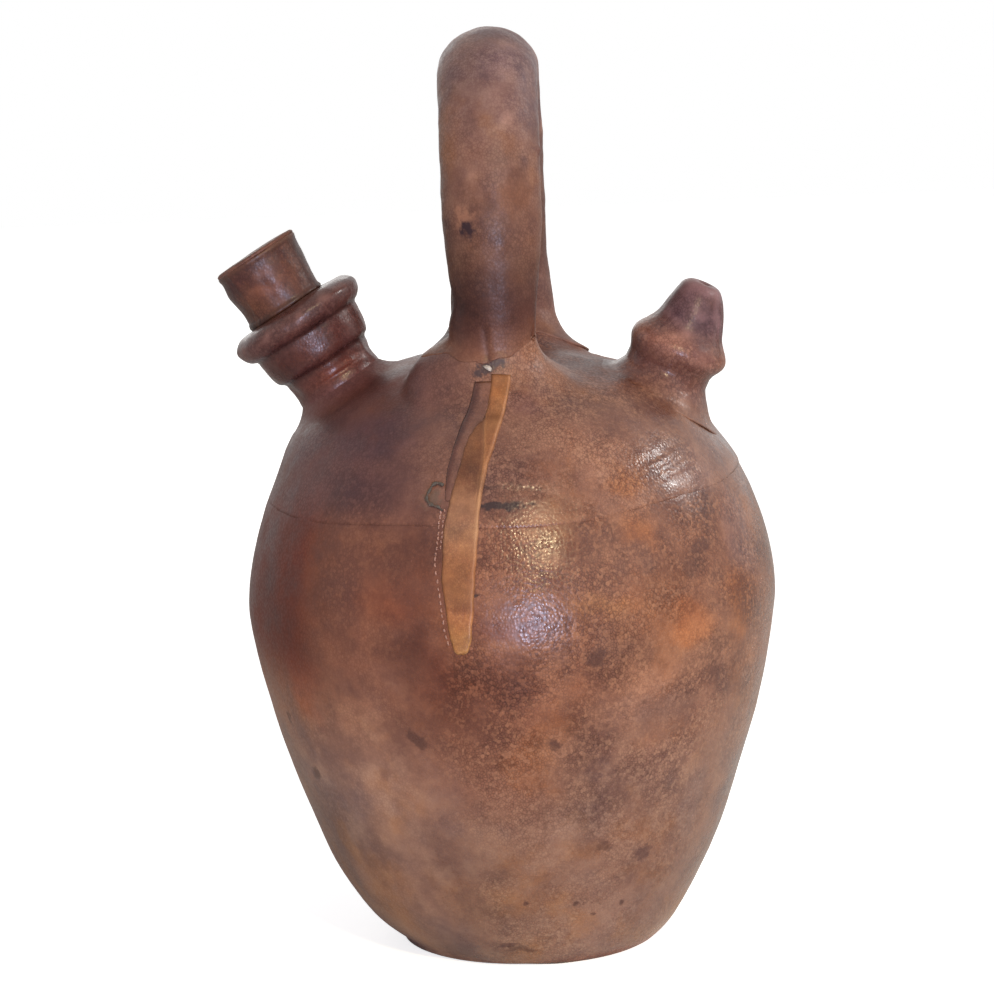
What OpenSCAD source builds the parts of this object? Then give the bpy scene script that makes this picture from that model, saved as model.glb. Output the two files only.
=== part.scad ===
// Leather-covered botijo: a fired clay water jar with a ring handle, a wide
// filling mouth with a stopper, and a narrow drinking spout.
// Origin at the centre of the flat base, +Z up, the handle runs front to back
// along Y, the mouth is on -X and the spout on +X. Millimetres.

/* [Jar] */
// Radius of the flat base
base_r = 47.5; // [44:0.5:52]
// Radius of the belly
belly_r = 98.5; // [94:0.5:103]
// Height of the belly above the floor
belly_z = 130; // [122:1:136]
// Radius at the shoulder seam
shoulder_r = 90.5; // [87:0.5:93]
// Height of the shoulder seam
shoulder_z = 168; // [162:1:174]
// Height of the crown of the dome
crown_z = 221.5; // [215:0.5:228]
// Thickness of the fired clay wall
clay_t = 6; // [4.5:0.5:8]
// Thickness of the clay floor
floor_t = 8; // [6:0.5:12]

/* [Leather] */
// Thickness of the leather skin
leather_t = 1.6; // [1.2:0.1:2.2]
// Film of glue between two pieces
glue = 0.15; // [0.1:0.05:0.3]
// Open line between two butted leather edges
seam = 0.4; // [0.2:0.1:0.8]
// How far the hem of the shoulder leather stands proud at the seam
hem_proud = 1; // [0.4:0.1:1.6]
// Height of the hem
hem_h = 8; // [5:1:14]
// Thickness of the tan strip down the front
strip_t = 1.2; // [0.8:0.1:1.8]
// Width of the strip where it is widest, over the shoulder seam
strip_w = 13; // [9:0.5:16]
// Width of the strip at its two ends
strip_end_w = 6; // [4:0.5:8]
// Height of the strip's lower end
strip_low_z = 129; // [100:1:150]
// Distance of the strip's upper end from the jar's axis
strip_top_r = 66.5; // [66:0.5:74]

/* [Mouth] */
// Tilt of the mouth from upright
mouth_tilt = 30.5; // [26:0.5:34]
// Distance from the jar's axis at which the mouth leaves the dome
mouth_out = 59; // [56:0.5:62]
// Height of the flange's widest line above the dome, along the mouth's axis
mouth_h = 33; // [31:0.5:38]
// Outer radius of the flange
flange_r = 25.3; // [24:0.1:28]
// Height of the rim face above the flange's widest line
rim_h = 4.2; // [3.4:0.1:5]
// Radius of the rounded band under the flange
band_r = 20.8; // [19.6:0.1:22.4]
// Radius of the mouth's neck
neck_r = 16.4; // [15.6:0.1:18]
// Radius of the bore at the rim
bore_rim_r = 12.4; // [11.6:0.1:12.8]
// Radius of the bore below the stopper
bore_low_r = 10.8; // [9.6:0.1:11.4]

/* [Stopper] */
// Length of the stopper that stands above the rim
stopper_h = 24.2; // [18:0.2:30]
// Outer radius of the stopper's top
stopper_top_r = 16; // [14.8:0.1:17.5]
// Outer radius of the stopper's leather where it meets the rim
stopper_foot_r = 13.7; // [13.2:0.1:14.4]
// Length of the plug inside the mouth
plug_in = 22; // [16:0.5:24]
// Gap round the plug in the bore
plug_gap = 0.3; // [0.2:0.05:0.5]
// Gap between the stopper's leather and the rim face it rests on
seat_gap = 0.2; // [0.1:0.05:0.4]

/* [Spout] */
// Tilt of the spout from upright
spout_tilt = 26; // [22:0.5:30]
// Distance from the jar's axis at which the spout leaves the dome
spout_out = 60; // [57:0.5:63]
// Height of the collar's widest line above the dome, along the spout's axis
spout_h = 14.3; // [13:0.1:18]
// Outer radius of the collar
collar_r = 17.4; // [16.6:0.1:19]
// Radius of the spout's neck under the collar
spout_neck_r = 15.5; // [14.6:0.1:16.4]
// Radius of the nozzle where it leaves the collar
nozzle_r = 12.6; // [11.6:0.1:13.4]
// Length of the nozzle above the collar's widest line
nozzle_h = 24; // [20:0.5:30]
// Outer radius of the nozzle's tip
tip_r = 7; // [6.4:0.1:8]
// Radius of the drinking hole
drink_r = 2.4; // [1.8:0.1:3]
// Radius of the bore inside the spout's neck
spout_bore_r = 9; // [8:0.1:10]

/* [Handle] */
// Height of the handle's top above the crown
handle_rise = 119; // [105:1:130]
// Distance of each foot of the handle from the jar's axis
foot_out = 36.5; // [34:0.5:40]
// Distance of the legs from the jar's axis where the ring is widest
leg_out = 44; // [42:0.5:50]
// Half width of the grip
grip_w = 17.6; // [16:0.2:21]
// Half thickness of the grip
grip_t = 14.4; // [12:0.2:16]
// Half width of the front leg just above its foot
front_w = 13.7; // [12:0.1:16]
// Half width of the rear leg just above its foot
rear_w = 19.6; // [14:0.2:20]
// Half thickness of a leg just above its foot
foot_t = 12; // [10.5:0.1:13]
// Height and reach of the flare that blends a foot into the dome
flare = 15; // [12:0.5:17]
// Turn of the handle round the jar's axis
handle_turn = 4.5; // [-5:0.5:5]
// Shift of the handle towards the spout
handle_shift = 0.6; // [-3:0.1:3]

/* [Hidden] */
$fn = 96;

// Depth of the clay's outer face under the face of the leather
clay_d = leather_t + glue;
// How deep forms reach past the surface that trims them
reach = 12;
// Depth under the flange's widest line at which the mouth's sleeve ends
sleeve_end = 29;
// Rings on each side of the handle, points in a ring, and where the flares start
handle_rings = 14;
handle_sides = 24;
leg_end = 0.84;
// Steps of the turn of a flare's curve, from the leg down to the dome
sleeve_turns = [10, 24, 38];
skirt_turns = [40, 52, 66, 78, 90];
clay_turns = [10, 24, 40, 52, 66];

// Curve helpers: points are [radius, height]
function bezier(a, b, c, d, n) = [for (i = [1:n]) let (t = i / n, s = 1 - t)
    s * s * s * a + 3 * s * s * t * b + 3 * s * t * t * c + t * t * t * d];
function knot(p, i) = p[max(0, min(len(p) - 1, i))];
function spline(p, n) = concat([p[0]], [for (i = [0:len(p) - 2], k = [1:n])
    let (t = k / n, a = knot(p, i - 1), b = p[i], c = p[i + 1], d = knot(p, i + 2))
    0.5 * (2 * b + (c - a) * t + (2 * a - 5 * b + 4 * c - d) * t * t
        + (3 * b - a - 3 * c + d) * t * t * t)]);
function reversed(p) = [for (i = [len(p) - 1:-1:0]) p[i]];
function smooth(a, b, x) = let (t = max(0, min(1, (x - a) / (b - a)))) t * t * (3 - 2 * t);
// Moves an outline that runs outwards and down by d towards its inner side
function inset(p, d) = [for (i = [0:len(p) - 1])
    let (v = knot(p, i + 1) - knot(p, i - 1), n = norm(v))
    p[i][0] == 0 ? p[i] - [0, d] : p[i] + d / n * [v[1], -v[0]]];

// Outline of the covered jar from the crown down to the base
jar_line = concat(
    [[0, crown_z]],
    bezier([0, crown_z], [0.635 * shoulder_r, crown_z],
        [shoulder_r - 13.3, shoulder_z + 0.62 * (crown_z - shoulder_z)],
        [shoulder_r, shoulder_z], 14),
    bezier([shoulder_r, shoulder_z], [shoulder_r + 4.5, shoulder_z - 13],
        [belly_r, belly_z + 14], [belly_r, belly_z], 6),
    bezier([belly_r, belly_z], [belly_r, belly_z - 17],
        [base_r + 31.5, 22.5], [base_r, 0], 14));
function jar_inset(d) = inset(jar_line, d);
function side_r(z, d) = lookup(z, [for (p = jar_inset(d)) [p[1], p[0]]]);
function dome_z(r, d) = lookup(r, [for (p = jar_inset(d)) if (p[1] >= shoulder_z - 2 * clay_t) p]);
// Stretch of the jar's outline between two heights, from the top down
function jar_band(d, low, high) = concat(
    high >= crown_z ? [] : [[side_r(high, d), high]],
    [for (p = jar_inset(d)) if (p[1] > low && p[1] < high) p],
    [[side_r(low, d), low]]);

// Solid bounded by the jar's outline at depth d, flat at heights low and high
module jar_form(d, low, high = crown_z + reach) {
    rotate_extrude()
        polygon(concat(high < crown_z ? [[0, high]] : [], jar_band(d, low, high), [[0, low]]));
}

// Places a mouth or a spout on the dome: its own +Z runs along its axis
module on_mouth() {
    translate([-mouth_out, 0, dome_z(mouth_out, 0)])
        rotate([0, -mouth_tilt, 0])
            translate([0, 0, mouth_h])
                children();
}
module on_spout() {
    translate([spout_out, 0, dome_z(spout_out, 0)])
        rotate([0, spout_tilt, 0])
            translate([0, 0, spout_h])
                children();
}

// Outline of the covered mouth: rim face, flange, band, neck and flared foot
mouth_low = -mouth_h - reach;
mouth_line = spline([
    [bore_rim_r + seam, rim_h],
    [flange_r - 4, rim_h - 0.7],
    [flange_r, 0],
    [flange_r - 0.9, -rim_h + 0.4],
    [band_r + 0.3, -2 * rim_h],
    [band_r - 0.2, -3.3 * rim_h],
    [band_r - 1.8, -4.4 * rim_h],
    [neck_r, -mouth_h + 10],
    [neck_r + 0.9, -mouth_h + 5],
    [neck_r + 3.8, -mouth_h],
    [neck_r + 11, mouth_low]], 4);
// Outline of the covered spout: tip, nozzle, collar, neck and flared foot
spout_low = -spout_h - reach;
spout_line = spline([
    [drink_r + seam, nozzle_h],
    [tip_r - 1.4, nozzle_h - 0.2],
    [tip_r + 1.4, nozzle_h - 3],
    [0.5 * (tip_r + nozzle_r) + 1.2, 0.6 * nozzle_h],
    [nozzle_r, 0.38 * nozzle_h],
    [collar_r, 0],
    [collar_r - 0.6, -3],
    [spout_neck_r, -spout_h + 5.5],
    [spout_neck_r + 1.2, -spout_h + 1],
    [spout_neck_r + 9, spout_low]], 4);

module revolved(line) {
    rotate_extrude()
        polygon(line);
}
// Solid inside an outline set in by d, closed to the axis
module core(line, d) {
    line_in = inset(line, d);
    revolved(concat([[0, line_in[0][1]]], line_in, [[0, line_in[len(line_in) - 1][1]]]));
}
// Skin of an outline between heights low and high
module skin(line, low) {
    outer = [for (p = line) if (p[1] >= low) p];
    inner = [for (i = [0:len(line) - 1]) if (line[i][1] >= low) inset(line, leather_t)[i]];
    revolved(concat(outer, reversed(inner)));
}

// Handle: a tapered ring swept from the front foot over the top to the rear
function arch(t) = let (u = 1 - abs(t), s = 1 - u, y = [foot_out, leg_out, 0.87 * leg_out, 0],
    top = crown_z + handle_rise - grip_t, z = [crown_z - 9.5, crown_z + 40, top, top],
    w = [s * s * s, 3 * s * s * u, 3 * s * u * u, u * u * u])
    [sign(t) * (w * y), w * z];
function arch_out(t) = let (v = arch(min(1, t + 0.01)) - arch(max(-1, t - 0.01)))
    [-v[1], v[0]] / norm(v);
function swell(t) = smooth(0.12, t < 0 ? 0.42 : 0.28, 1 - abs(t));
function leg_w(t) = t < 0 ? front_w : rear_w;
function placed(p) = [p[0] * cos(handle_turn) - p[1] * sin(handle_turn) + handle_shift,
    p[0] * sin(handle_turn) + p[1] * cos(handle_turn), p[2]];
function handle_ring(t, d) = let (c = arch(t), n = arch_out(t),
    w = leg_w(t) + (grip_w - leg_w(t)) * swell(t) - d,
    h = foot_t + (grip_t - foot_t) * swell(t) - d)
    [for (k = [0:handle_sides - 1]) let (a = 360 * k / handle_sides)
        placed([w * cos(a), c[0] + h * sin(a) * n[0], c[1] + h * sin(a) * n[1]])];
handle_ts = [for (i = [-handle_rings:handle_rings]) leg_end * i / handle_rings];
// Ring round the foot on side t, grown by g, standing lift above the dome's leather
function foot_ring(t, g, lift) = let (rise = max(0, min(1, lift / flare)),
    y = foot_out + (arch(leg_end)[0] - foot_out) * rise)
    [for (k = [0:handle_sides - 1]) let (a = 360 * k / handle_sides,
        p = placed([(leg_w(t) + g) * cos(a), t * (y + (foot_t + g) * sin(a)), 0]))
        [p[0], p[1], dome_z(norm([p[0], p[1]]), 0) + lift]];
// Ring of the flare where its curve has turned by a, set in by d
function flare_ring(t, a, d) = foot_ring(t, flare * (1 - cos(a)) - d * cos(a),
    leather_t + 2 * glue + flare * (1 - sin(a)) - d * sin(a));
// Growth of the clay foot past the leg at its edge on the dome
clay_foot = let (a = knot(clay_turns, 9)) flare * (1 - cos(a)) - clay_d * cos(a);

// Quads between rings of n points; a closed stack joins its last ring to its first
function stack_faces(rows, n, closed) = [for (i = [0:rows - (closed ? 1 : 2)], k = [0:n - 1])
    let (j = (i + 1) % rows, m = (k + 1) % n)
    each [[i * n + k, j * n + m, j * n + k], [i * n + k, i * n + m, j * n + m]]];
function flat(rings) = [for (r = rings) each r];

// The thrown clay jar, open at the shoulder
module clay_body() {
    color("sienna")
        difference() {
            jar_form(clay_d, clay_d, shoulder_z);
            jar_form(clay_d + clay_t, clay_d + floor_t, shoulder_z + reach);
        }
}

// The thrown clay dome luted onto the jar, with holes under the mouth and the spout
module clay_dome() {
    color("sienna")
        difference() {
            jar_form(clay_d, shoulder_z);
            jar_form(clay_d + clay_t, shoulder_z - reach);
            on_mouth()
                translate([0, 0, mouth_low - clay_t])
                    cylinder(r = bore_low_r, h = mouth_h);
            on_spout()
                translate([0, 0, spout_low - clay_t])
                    cylinder(r = spout_bore_r, h = 2 * spout_h);
        }
}

// The thrown mouth, luted to the dome, with a tapered seat for the stopper
module clay_mouth() {
    rim = rim_h - clay_d;
    taper_low = rim_h - plug_in;
    color("sienna")
        difference() {
            on_mouth()
                difference() {
                    core(mouth_line, clay_d);
                    translate([0, 0, taper_low])
                        cylinder(r1 = bore_low_r, r2 = bore_rim_r, h = rim_h - taper_low);
                    translate([0, 0, mouth_low - reach])
                        cylinder(r = bore_low_r, h = taper_low - mouth_low + reach);
                }
            jar_form(clay_d - glue, clay_d);
        }
}

// The thrown spout, luted to the dome, with a fine drinking hole
module clay_spout() {
    hole_h = 7;
    color("sienna")
        difference() {
            on_spout()
                difference() {
                    core(spout_line, clay_d);
                    translate([0, 0, nozzle_h - hole_h - 1])
                        cylinder(r = drink_r, h = hole_h + 1);
                    cylinder(r1 = spout_bore_r, r2 = drink_r, h = nozzle_h - hole_h);
                    translate([0, 0, spout_low - reach])
                        cylinder(r = spout_bore_r, h = reach - spout_low);
                }
            jar_form(clay_d - glue, clay_d);
        }
}

// The pulled ring handle, its two flared feet luted to the dome
module clay_handle() {
    function foot(t) = concat([for (a = clay_turns) flare_ring(t, a, clay_d)],
        [for (s = [1, 0.66, 0.33]) foot_ring(t, s * (clay_foot + foot_t) - foot_t, glue - clay_d)]);
    ends = [for (t = [-1, 1]) placed([0, t * foot_out, 0])];
    tips = [for (p = ends) [p[0], p[1], dome_z(norm([p[0], p[1]]), 0) + glue - clay_d]];
    rings = concat(reversed(foot(-1)), [for (t = handle_ts) handle_ring(t, clay_d)], foot(1));
    n = handle_sides;
    last = len(rings) * n;
    color("sienna")
        polyhedron(
            points = concat(flat(rings), tips),
            faces = concat(stack_faces(len(rings), n, false),
                [for (k = [0:n - 1]) [last, (k + 1) % n, k]],
                [for (k = [0:n - 1]) [last + 1, last - n + k, last - n + (k + 1) % n]]));
}

// Leather wrapped round the jar from the base to the shoulder seam
module body_leather() {
    high = shoulder_z - seam / 2;
    color("saddlebrown")
        revolved(concat(jar_band(0, 0, high), reversed(jar_band(leather_t, 0, high))));
}

// Hem that stands proud of the outline just above the shoulder seam
function hem(z) = z > shoulder_z - seam ? hem_proud * (1 - smooth(0, hem_h, z - shoulder_z)) : 0;

// Leather stretched over the dome, drawn up round the foot of the mouth
module shoulder_leather() {
    low = shoulder_z + seam / 2;
    top = [for (p = jar_band(0, low, crown_z + reach)) [p[0] + hem(p[1]), p[1]]];
    under = jar_band(leather_t, low, crown_z + reach);
    fit = leather_t + glue / 3;
    color("saddlebrown")
        difference() {
            union() {
                revolved(concat(top, reversed(under)));
                difference() {
                    on_mouth()
                        skirt_skin();
                    jar_form(leather_t / 2, shoulder_z);
                }
            }
            on_mouth()
                core(mouth_line, fit);
            on_spout()
                core(spout_line, fit);
            for (t = [-1, 1])
                foot_hole(t);
        }
}
module skirt_skin() {
    intersection() {
        core(mouth_line, 0);
        translate([0, 0, mouth_low - reach])
            cylinder(r = 2 * flange_r, h = mouth_h - sleeve_end - mouth_low - mouth_h + reach);
    }
}
module foot_hole(t) {
    g = clay_foot + 2 * glue;
    c = placed([0, t * foot_out, 0]);
    translate([c[0], c[1], shoulder_z])
        rotate([0, 0, handle_turn])
            linear_extrude(crown_z)
                polygon([for (k = [0:35])
                    [(leg_w(t) + g) * cos(10 * k), (foot_t + g) * sin(10 * k)]]);
}

// Leather disc glued under the base
module base_leather() {
    color("saddlebrown")
        cylinder(r = side_r(0, leather_t) - seam, h = leather_t);
}

// Leather drawn over the rim, flange, band and neck of the mouth
module mouth_sleeve() {
    color("saddlebrown")
        on_mouth()
            skin(mouth_line, -sleeve_end + seam);
}

// Leather drawn over the nozzle, collar and neck of the spout, spread on the dome
module spout_sleeve() {
    color("saddlebrown")
        difference() {
            on_spout()
                skin(spout_line, spout_low);
            jar_form(-glue, shoulder_z);
        }
}

// Leather sewn round the handle, its ends opened over the flares
module handle_sleeve() {
    function shell(d) = concat(
        [for (a = reversed(sleeve_turns)) flare_ring(-1, a, d)],
        [for (t = handle_ts) handle_ring(t, d)],
        [for (a = sleeve_turns) flare_ring(1, a, d)]);
    rings = concat(shell(0), reversed(shell(leather_t)));
    color("saddlebrown")
        polyhedron(points = flat(rings),
            faces = stack_faces(len(rings), handle_sides, true));
}

// Leather skirts that carry on from the sleeve down each flare onto the dome
module handle_skirts() {
    for (t = [-1, 1]) {
        rings = concat([for (a = skirt_turns) flare_ring(t, a, 0)],
            [for (a = reversed(skirt_turns)) flare_ring(t, a, leather_t)]);
        color("saddlebrown")
            polyhedron(points = flat(t < 0 ? reversed(rings) : rings),
                faces = stack_faces(len(rings), handle_sides, true));
    }
}

// Tan strip that runs down the front over the shoulder seam
module front_strip() {
    top_z = dome_z(strip_top_r, 0);
    zs = [for (p = jar_band(0, strip_low_z, top_z)) p[1]];
    function way(z) = -94.6 + 12 * smooth(shoulder_z - 3, crown_z + 4, z);
    function wide(z) = strip_end_w + (strip_w - strip_end_w)
        * (smooth(strip_low_z, shoulder_z + 4, z) - smooth(shoulder_z + 5, top_z, z));
    function row(z, lift) = let (r = side_r(z, -glue - lift) + hem(z), span = wide(z) / r * 180 / PI)
        [for (k = [-0.5, -0.17, 0.17, 0.5]) let (a = way(z) + k * span)
            [r * cos(a), r * sin(a), z]];
    rings = [for (z = zs) concat(row(z, strip_t), reversed(row(z, 0)))];
    n = 8;
    last = (len(rings) - 1) * n;
    color("peru")
        polyhedron(points = flat(rings),
            faces = concat(stack_faces(len(rings), n, false),
                [[for (k = [n - 1:-1:0]) k]], [[for (k = [0:n - 1]) last + k]]));
}

// Tapered plug of turned wood that fills the mouth's bore
module stopper_plug() {
    nose = 1.5;
    low = rim_h - plug_in;
    high = rim_h + stopper_h - clay_d;
    skin_d = clay_d;
    color("burlywood")
        on_mouth()
            revolved([
                [0, low + nose],
                [bore_low_r - plug_gap - nose, low + nose],
                [bore_low_r - plug_gap, low + 2 * nose],
                [bore_rim_r - plug_gap, rim_h],
                [stopper_foot_r - skin_d, rim_h + seat_gap],
                [stopper_top_r - skin_d, high],
                [0, high]]);
}

// Leather wrapped round the part of the plug that stands above the rim
module stopper_leather() {
    low = rim_h + seat_gap;
    high = rim_h + stopper_h - clay_d;
    color("sienna")
        on_mouth()
            revolved([
                [stopper_foot_r - leather_t, low],
                [stopper_foot_r, low],
                [stopper_top_r, high],
                [stopper_top_r - leather_t, high]]);
}

// Leather disc on top of the plug
module stopper_top() {
    high = rim_h + stopper_h;
    color("sienna")
        on_mouth()
            translate([0, 0, high - leather_t])
                cylinder(r1 = stopper_top_r, r2 = stopper_top_r - 0.6, h = leather_t);
}

clay_body();
clay_dome();
clay_mouth();
clay_spout();
clay_handle();
body_leather();
shoulder_leather();
base_leather();
front_strip();
mouth_sleeve();
spout_sleeve();
handle_sleeve();
handle_skirts();
stopper_plug();
stopper_leather();
stopper_top();
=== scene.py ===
import math
import random

import bpy
import numpy as np
from mathutils import Matrix, Vector, noise
from mathutils.bvhtree import BVHTree
from mathutils.geometry import delaunay_2d_cdt


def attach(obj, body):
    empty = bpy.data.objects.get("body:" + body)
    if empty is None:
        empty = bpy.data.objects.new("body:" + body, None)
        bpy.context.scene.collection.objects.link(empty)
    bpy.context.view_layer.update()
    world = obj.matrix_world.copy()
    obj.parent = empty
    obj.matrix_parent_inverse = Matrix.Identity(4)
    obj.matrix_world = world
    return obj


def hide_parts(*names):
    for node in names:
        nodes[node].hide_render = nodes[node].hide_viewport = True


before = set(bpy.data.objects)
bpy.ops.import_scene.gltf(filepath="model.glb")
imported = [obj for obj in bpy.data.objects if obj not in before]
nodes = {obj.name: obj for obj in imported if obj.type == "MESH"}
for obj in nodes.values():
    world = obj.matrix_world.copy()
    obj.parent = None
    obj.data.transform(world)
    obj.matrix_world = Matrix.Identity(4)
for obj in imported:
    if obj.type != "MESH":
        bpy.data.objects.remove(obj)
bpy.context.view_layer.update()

# Sizes of the part, in millimetres, as in the CAD model
MM = 0.001
BASE_R, BELLY_R, BELLY_Z = 47.5, 98.5, 130.0
SHOULDER_R, SHOULDER_Z, CROWN_Z = 90.5, 168.0, 221.5
LEATHER = 1.6
MOUTH_OUT, MOUTH_TILT, MOUTH_H = 59.0, 30.5, 33.0
SPOUT_OUT, SPOUT_TILT, SPOUT_H = 60.0, 26.0, 14.3
RIM_H, STOPPER_H, STOPPER_TOP_R, SEAT_GAP = 4.2, 24.2, 16.0, 0.2
HANDLE_RISE, FOOT_OUT, LEG_OUT = 119.0, 36.5, 44.0
GRIP_W, GRIP_T, FRONT_W, REAR_W, FOOT_T = 17.6, 14.4, 13.7, 19.6, 12.0
FLARE, LEG_END, HANDLE_TURN, HANDLE_SHIFT = 15.0, 0.84, 4.5, 0.6
STRIP_LOW_Z, STRIP_HIGH_Z, LEG_FLANK = 128.6, 213.35, 3.5


# Helpers
def smooth(a, b, x):
    t = np.clip((np.asarray(x, float) - a) / (b - a), 0, 1)
    return t * t * (3 - 2 * t)


def bell(x, centre, width):
    return np.exp(-(((np.asarray(x, float) - centre) / width) ** 2))


def circle(count):
    """Angles of count places evenly round a ring."""
    return np.linspace(0, 2 * math.pi, count, endpoint=False)


def wrapped(angle):
    """The same angle between -pi and pi."""
    return np.angle(np.exp(1j * np.asarray(angle, float)))


def degrees_from(middle, deg):
    """How far deg lies past middle, between -180 and 180 degrees."""
    return (np.asarray(deg, float) - middle + 180) % 360 - 180


def leftward(angle):
    """1 on the side towards the mouth, 0 from the middle of the front on."""
    return np.clip(-np.cos(angle), 0, 1)


def rightward(angle):
    """1 on the side towards the spout, 0 from the middle of the front on."""
    return np.clip(np.cos(angle), 0, 1)


def azimuth(points):
    """Degrees round the jar's axis: 0 at the spout, -90 at the front."""
    return np.degrees(np.arctan2(points[:, 1], points[:, 0]))


def fillet(radius, out):
    """Height of a fillet of this radius, a distance out from the wall that it rises to."""
    return radius - np.sqrt(np.clip(radius**2 - np.clip(radius - out, 0, None) ** 2, 0, None))


def rough(points, size, seed=0.0):
    """Smooth noise from -1 to 1 at points in mm, with features about size mm across."""
    shift = Vector((seed * 7.31, seed * 3.17, seed * 5.93))
    q = np.asarray(points, float) / size
    return np.array([noise.noise(Vector(p) + shift) for p in q.tolist()])


def bezier(a, b, c, d, n=60):
    t = np.linspace(0, 1, n)[:, None]
    s = 1 - t
    a, b, c, d = (np.array(p, float) for p in (a, b, c, d))
    return s**3 * a + 3 * s * s * t * b + 3 * s * t * t * c + t**3 * d


def spline(points, n=8):
    """Curve through points, as the CAD model draws its outlines."""
    p = np.array(points, float)
    p = np.vstack([p[:1], p, p[-1:]])
    t = np.linspace(0, 1, n, endpoint=False)[:, None]
    out = []
    for i in range(1, len(p) - 2):
        a, b, c, d = p[i - 1 : i + 3]
        out.append(0.5 * (2 * b + (c - a) * t + (2 * a - 5 * b + 4 * c - d) * t**2
                          + (3 * b - a - 3 * c + d) * t**3))
    return np.vstack(out + [p[-2:-1]])


def evenly(line, step):
    """The same line with points a step apart."""
    line = np.asarray(line, float)
    run = np.concatenate([[0], np.cumsum(np.linalg.norm(np.diff(line, axis=0), axis=1))])
    at = np.linspace(0, run[-1], max(2, int(round(run[-1] / step)) + 1))
    return np.stack([np.interp(at, run, line[:, i]) for i in range(line.shape[1])], 1)


def shade(amount, red, green, blue):
    """Factors per point that tint a zone towards these shares of its colour."""
    return 1 + np.asarray(amount, float)[:, None] * (np.array([red, green, blue]) - 1)


def tinted(count, base, zones):
    """Colour factors per point: a base colour, and zones of (amount, red, green, blue) over it."""
    tint = np.ones((count, 3)) * base
    for zone in zones:
        tint *= shade(*zone)
    return tint


def line_distance(points, line):
    """Distance of each point from a polyline, and how far along it the nearest place is, 0 to 1."""
    points, line = np.asarray(points, float), np.asarray(line, float)
    best = np.full(len(points), 1e9)
    along = np.zeros(len(points))
    for i in range(len(line) - 1):
        a, ab = line[i], line[i + 1] - line[i]
        t = np.clip(((points - a) @ ab) / (ab @ ab), 0, 1)
        d = np.linalg.norm(points - (a + t[:, None] * ab), axis=1)
        near = d < best
        best[near] = d[near]
        along[near] = (i + t[near]) / (len(line) - 1)
    return best, along


# The jar's surface
jar_line = np.vstack([
    bezier((0, CROWN_Z), (0.635 * SHOULDER_R, CROWN_Z),
           (SHOULDER_R - 13.3, SHOULDER_Z + 0.62 * (CROWN_Z - SHOULDER_Z)), (SHOULDER_R, SHOULDER_Z)),
    bezier((SHOULDER_R, SHOULDER_Z), (SHOULDER_R + 4.5, SHOULDER_Z - 13),
           (BELLY_R, BELLY_Z + 14), (BELLY_R, BELLY_Z))[1:],
    bezier((BELLY_R, BELLY_Z), (BELLY_R, BELLY_Z - 17), (BASE_R + 31.5, 22.5), (BASE_R, 0))[1:],
])
JAR_S = np.concatenate([[0], np.cumsum(np.linalg.norm(np.diff(jar_line, axis=0), axis=1))])
_slope = np.gradient(jar_line, axis=0)
_slope /= np.linalg.norm(_slope, axis=1)[:, None]
_slope[0] = (1, 0)
JAR_NR, JAR_NZ = -_slope[:, 1], _slope[:, 0]


def s_of_z(z):
    return np.interp(-np.asarray(z, float), -jar_line[:, 1], JAR_S)


def s_of_r(r):
    top = jar_line[:, 1] >= BELLY_Z
    return np.interp(r, jar_line[top, 0], JAR_S[top])


def z_of_s(s):
    return np.interp(s, JAR_S, jar_line[:, 1])


def dome_z(r):
    top = jar_line[:, 1] >= BELLY_Z
    return np.interp(r, jar_line[top, 0], jar_line[top, 1])


def uneven(phi, s):
    """How far the handmade jar stands off its outline."""
    phi, s = np.broadcast_arrays(np.asarray(phi, float), np.asarray(s, float))
    z = z_of_s(s)
    phi = wrapped(phi)
    p = np.stack([60 * np.cos(phi), 60 * np.sin(phi), s], -1).reshape(-1, 3)
    d = 0.5 * rough(p, 46, 1) + 0.25 * rough(p, 19, 2)
    left = leftward(phi)
    right = rightward(phi)
    d = d.reshape(phi.shape) * smooth(4, 26, s) * smooth(2, 14, z)
    front_right = rightward(phi - math.radians(-35))
    front_left = rightward(phi - math.radians(-150))
    d = d + 2.3 * front_right**2 * (1 - smooth(3, 26, z)) - 1.5 * front_left**2 * (1 - smooth(0, 14, z))
    d = d + 0.9 * left * bell(z, 30, 16) - 0.5 * right * bell(z, 62, 22)
    # the dome is fuller under the mouth and leaner under the spout
    d = d + 2.3 * bell(np.abs(phi), math.pi, 0.6) * bell(z, 194, 10)
    d = d + 1.5 * left * smooth(24, 34, s) * (1 - smooth(44, 56, s))
    d = d - 0.8 * bell(phi, 0.0, 0.5) * bell(z, 190, 8)
    return d - 0.9 * right * smooth(24, 34, s) * (1 - smooth(44, 56, s))


def on_jar(phi, s, lift=0.0):
    """Points on the jar's leather at angle phi (radians) and distance s from the crown."""
    phi, s, lift = np.broadcast_arrays(np.asarray(phi, float), np.asarray(s, float), np.asarray(lift, float))
    r = np.interp(s, JAR_S, jar_line[:, 0])
    z = np.interp(s, JAR_S, jar_line[:, 1])
    nr = np.interp(s, JAR_S, JAR_NR)
    nz = np.interp(s, JAR_S, JAR_NZ)
    lift = lift + uneven(phi, s)
    rr = r + nr * lift
    return np.stack([rr * np.cos(phi), rr * np.sin(phi), z + nz * lift], -1)


def stand_off(phi, s, lift=0.0):
    """From the jar's plain outline to its leather, lift mm higher."""
    return on_jar(phi, s, lift) - on_jar(phi, s, -uneven(phi, s))


def at(az, z, lift=0.0):
    """One or more points of the jar's surface at azimuth az (degrees) and height z."""
    return on_jar(np.radians(az), s_of_z(z), lift)


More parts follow.
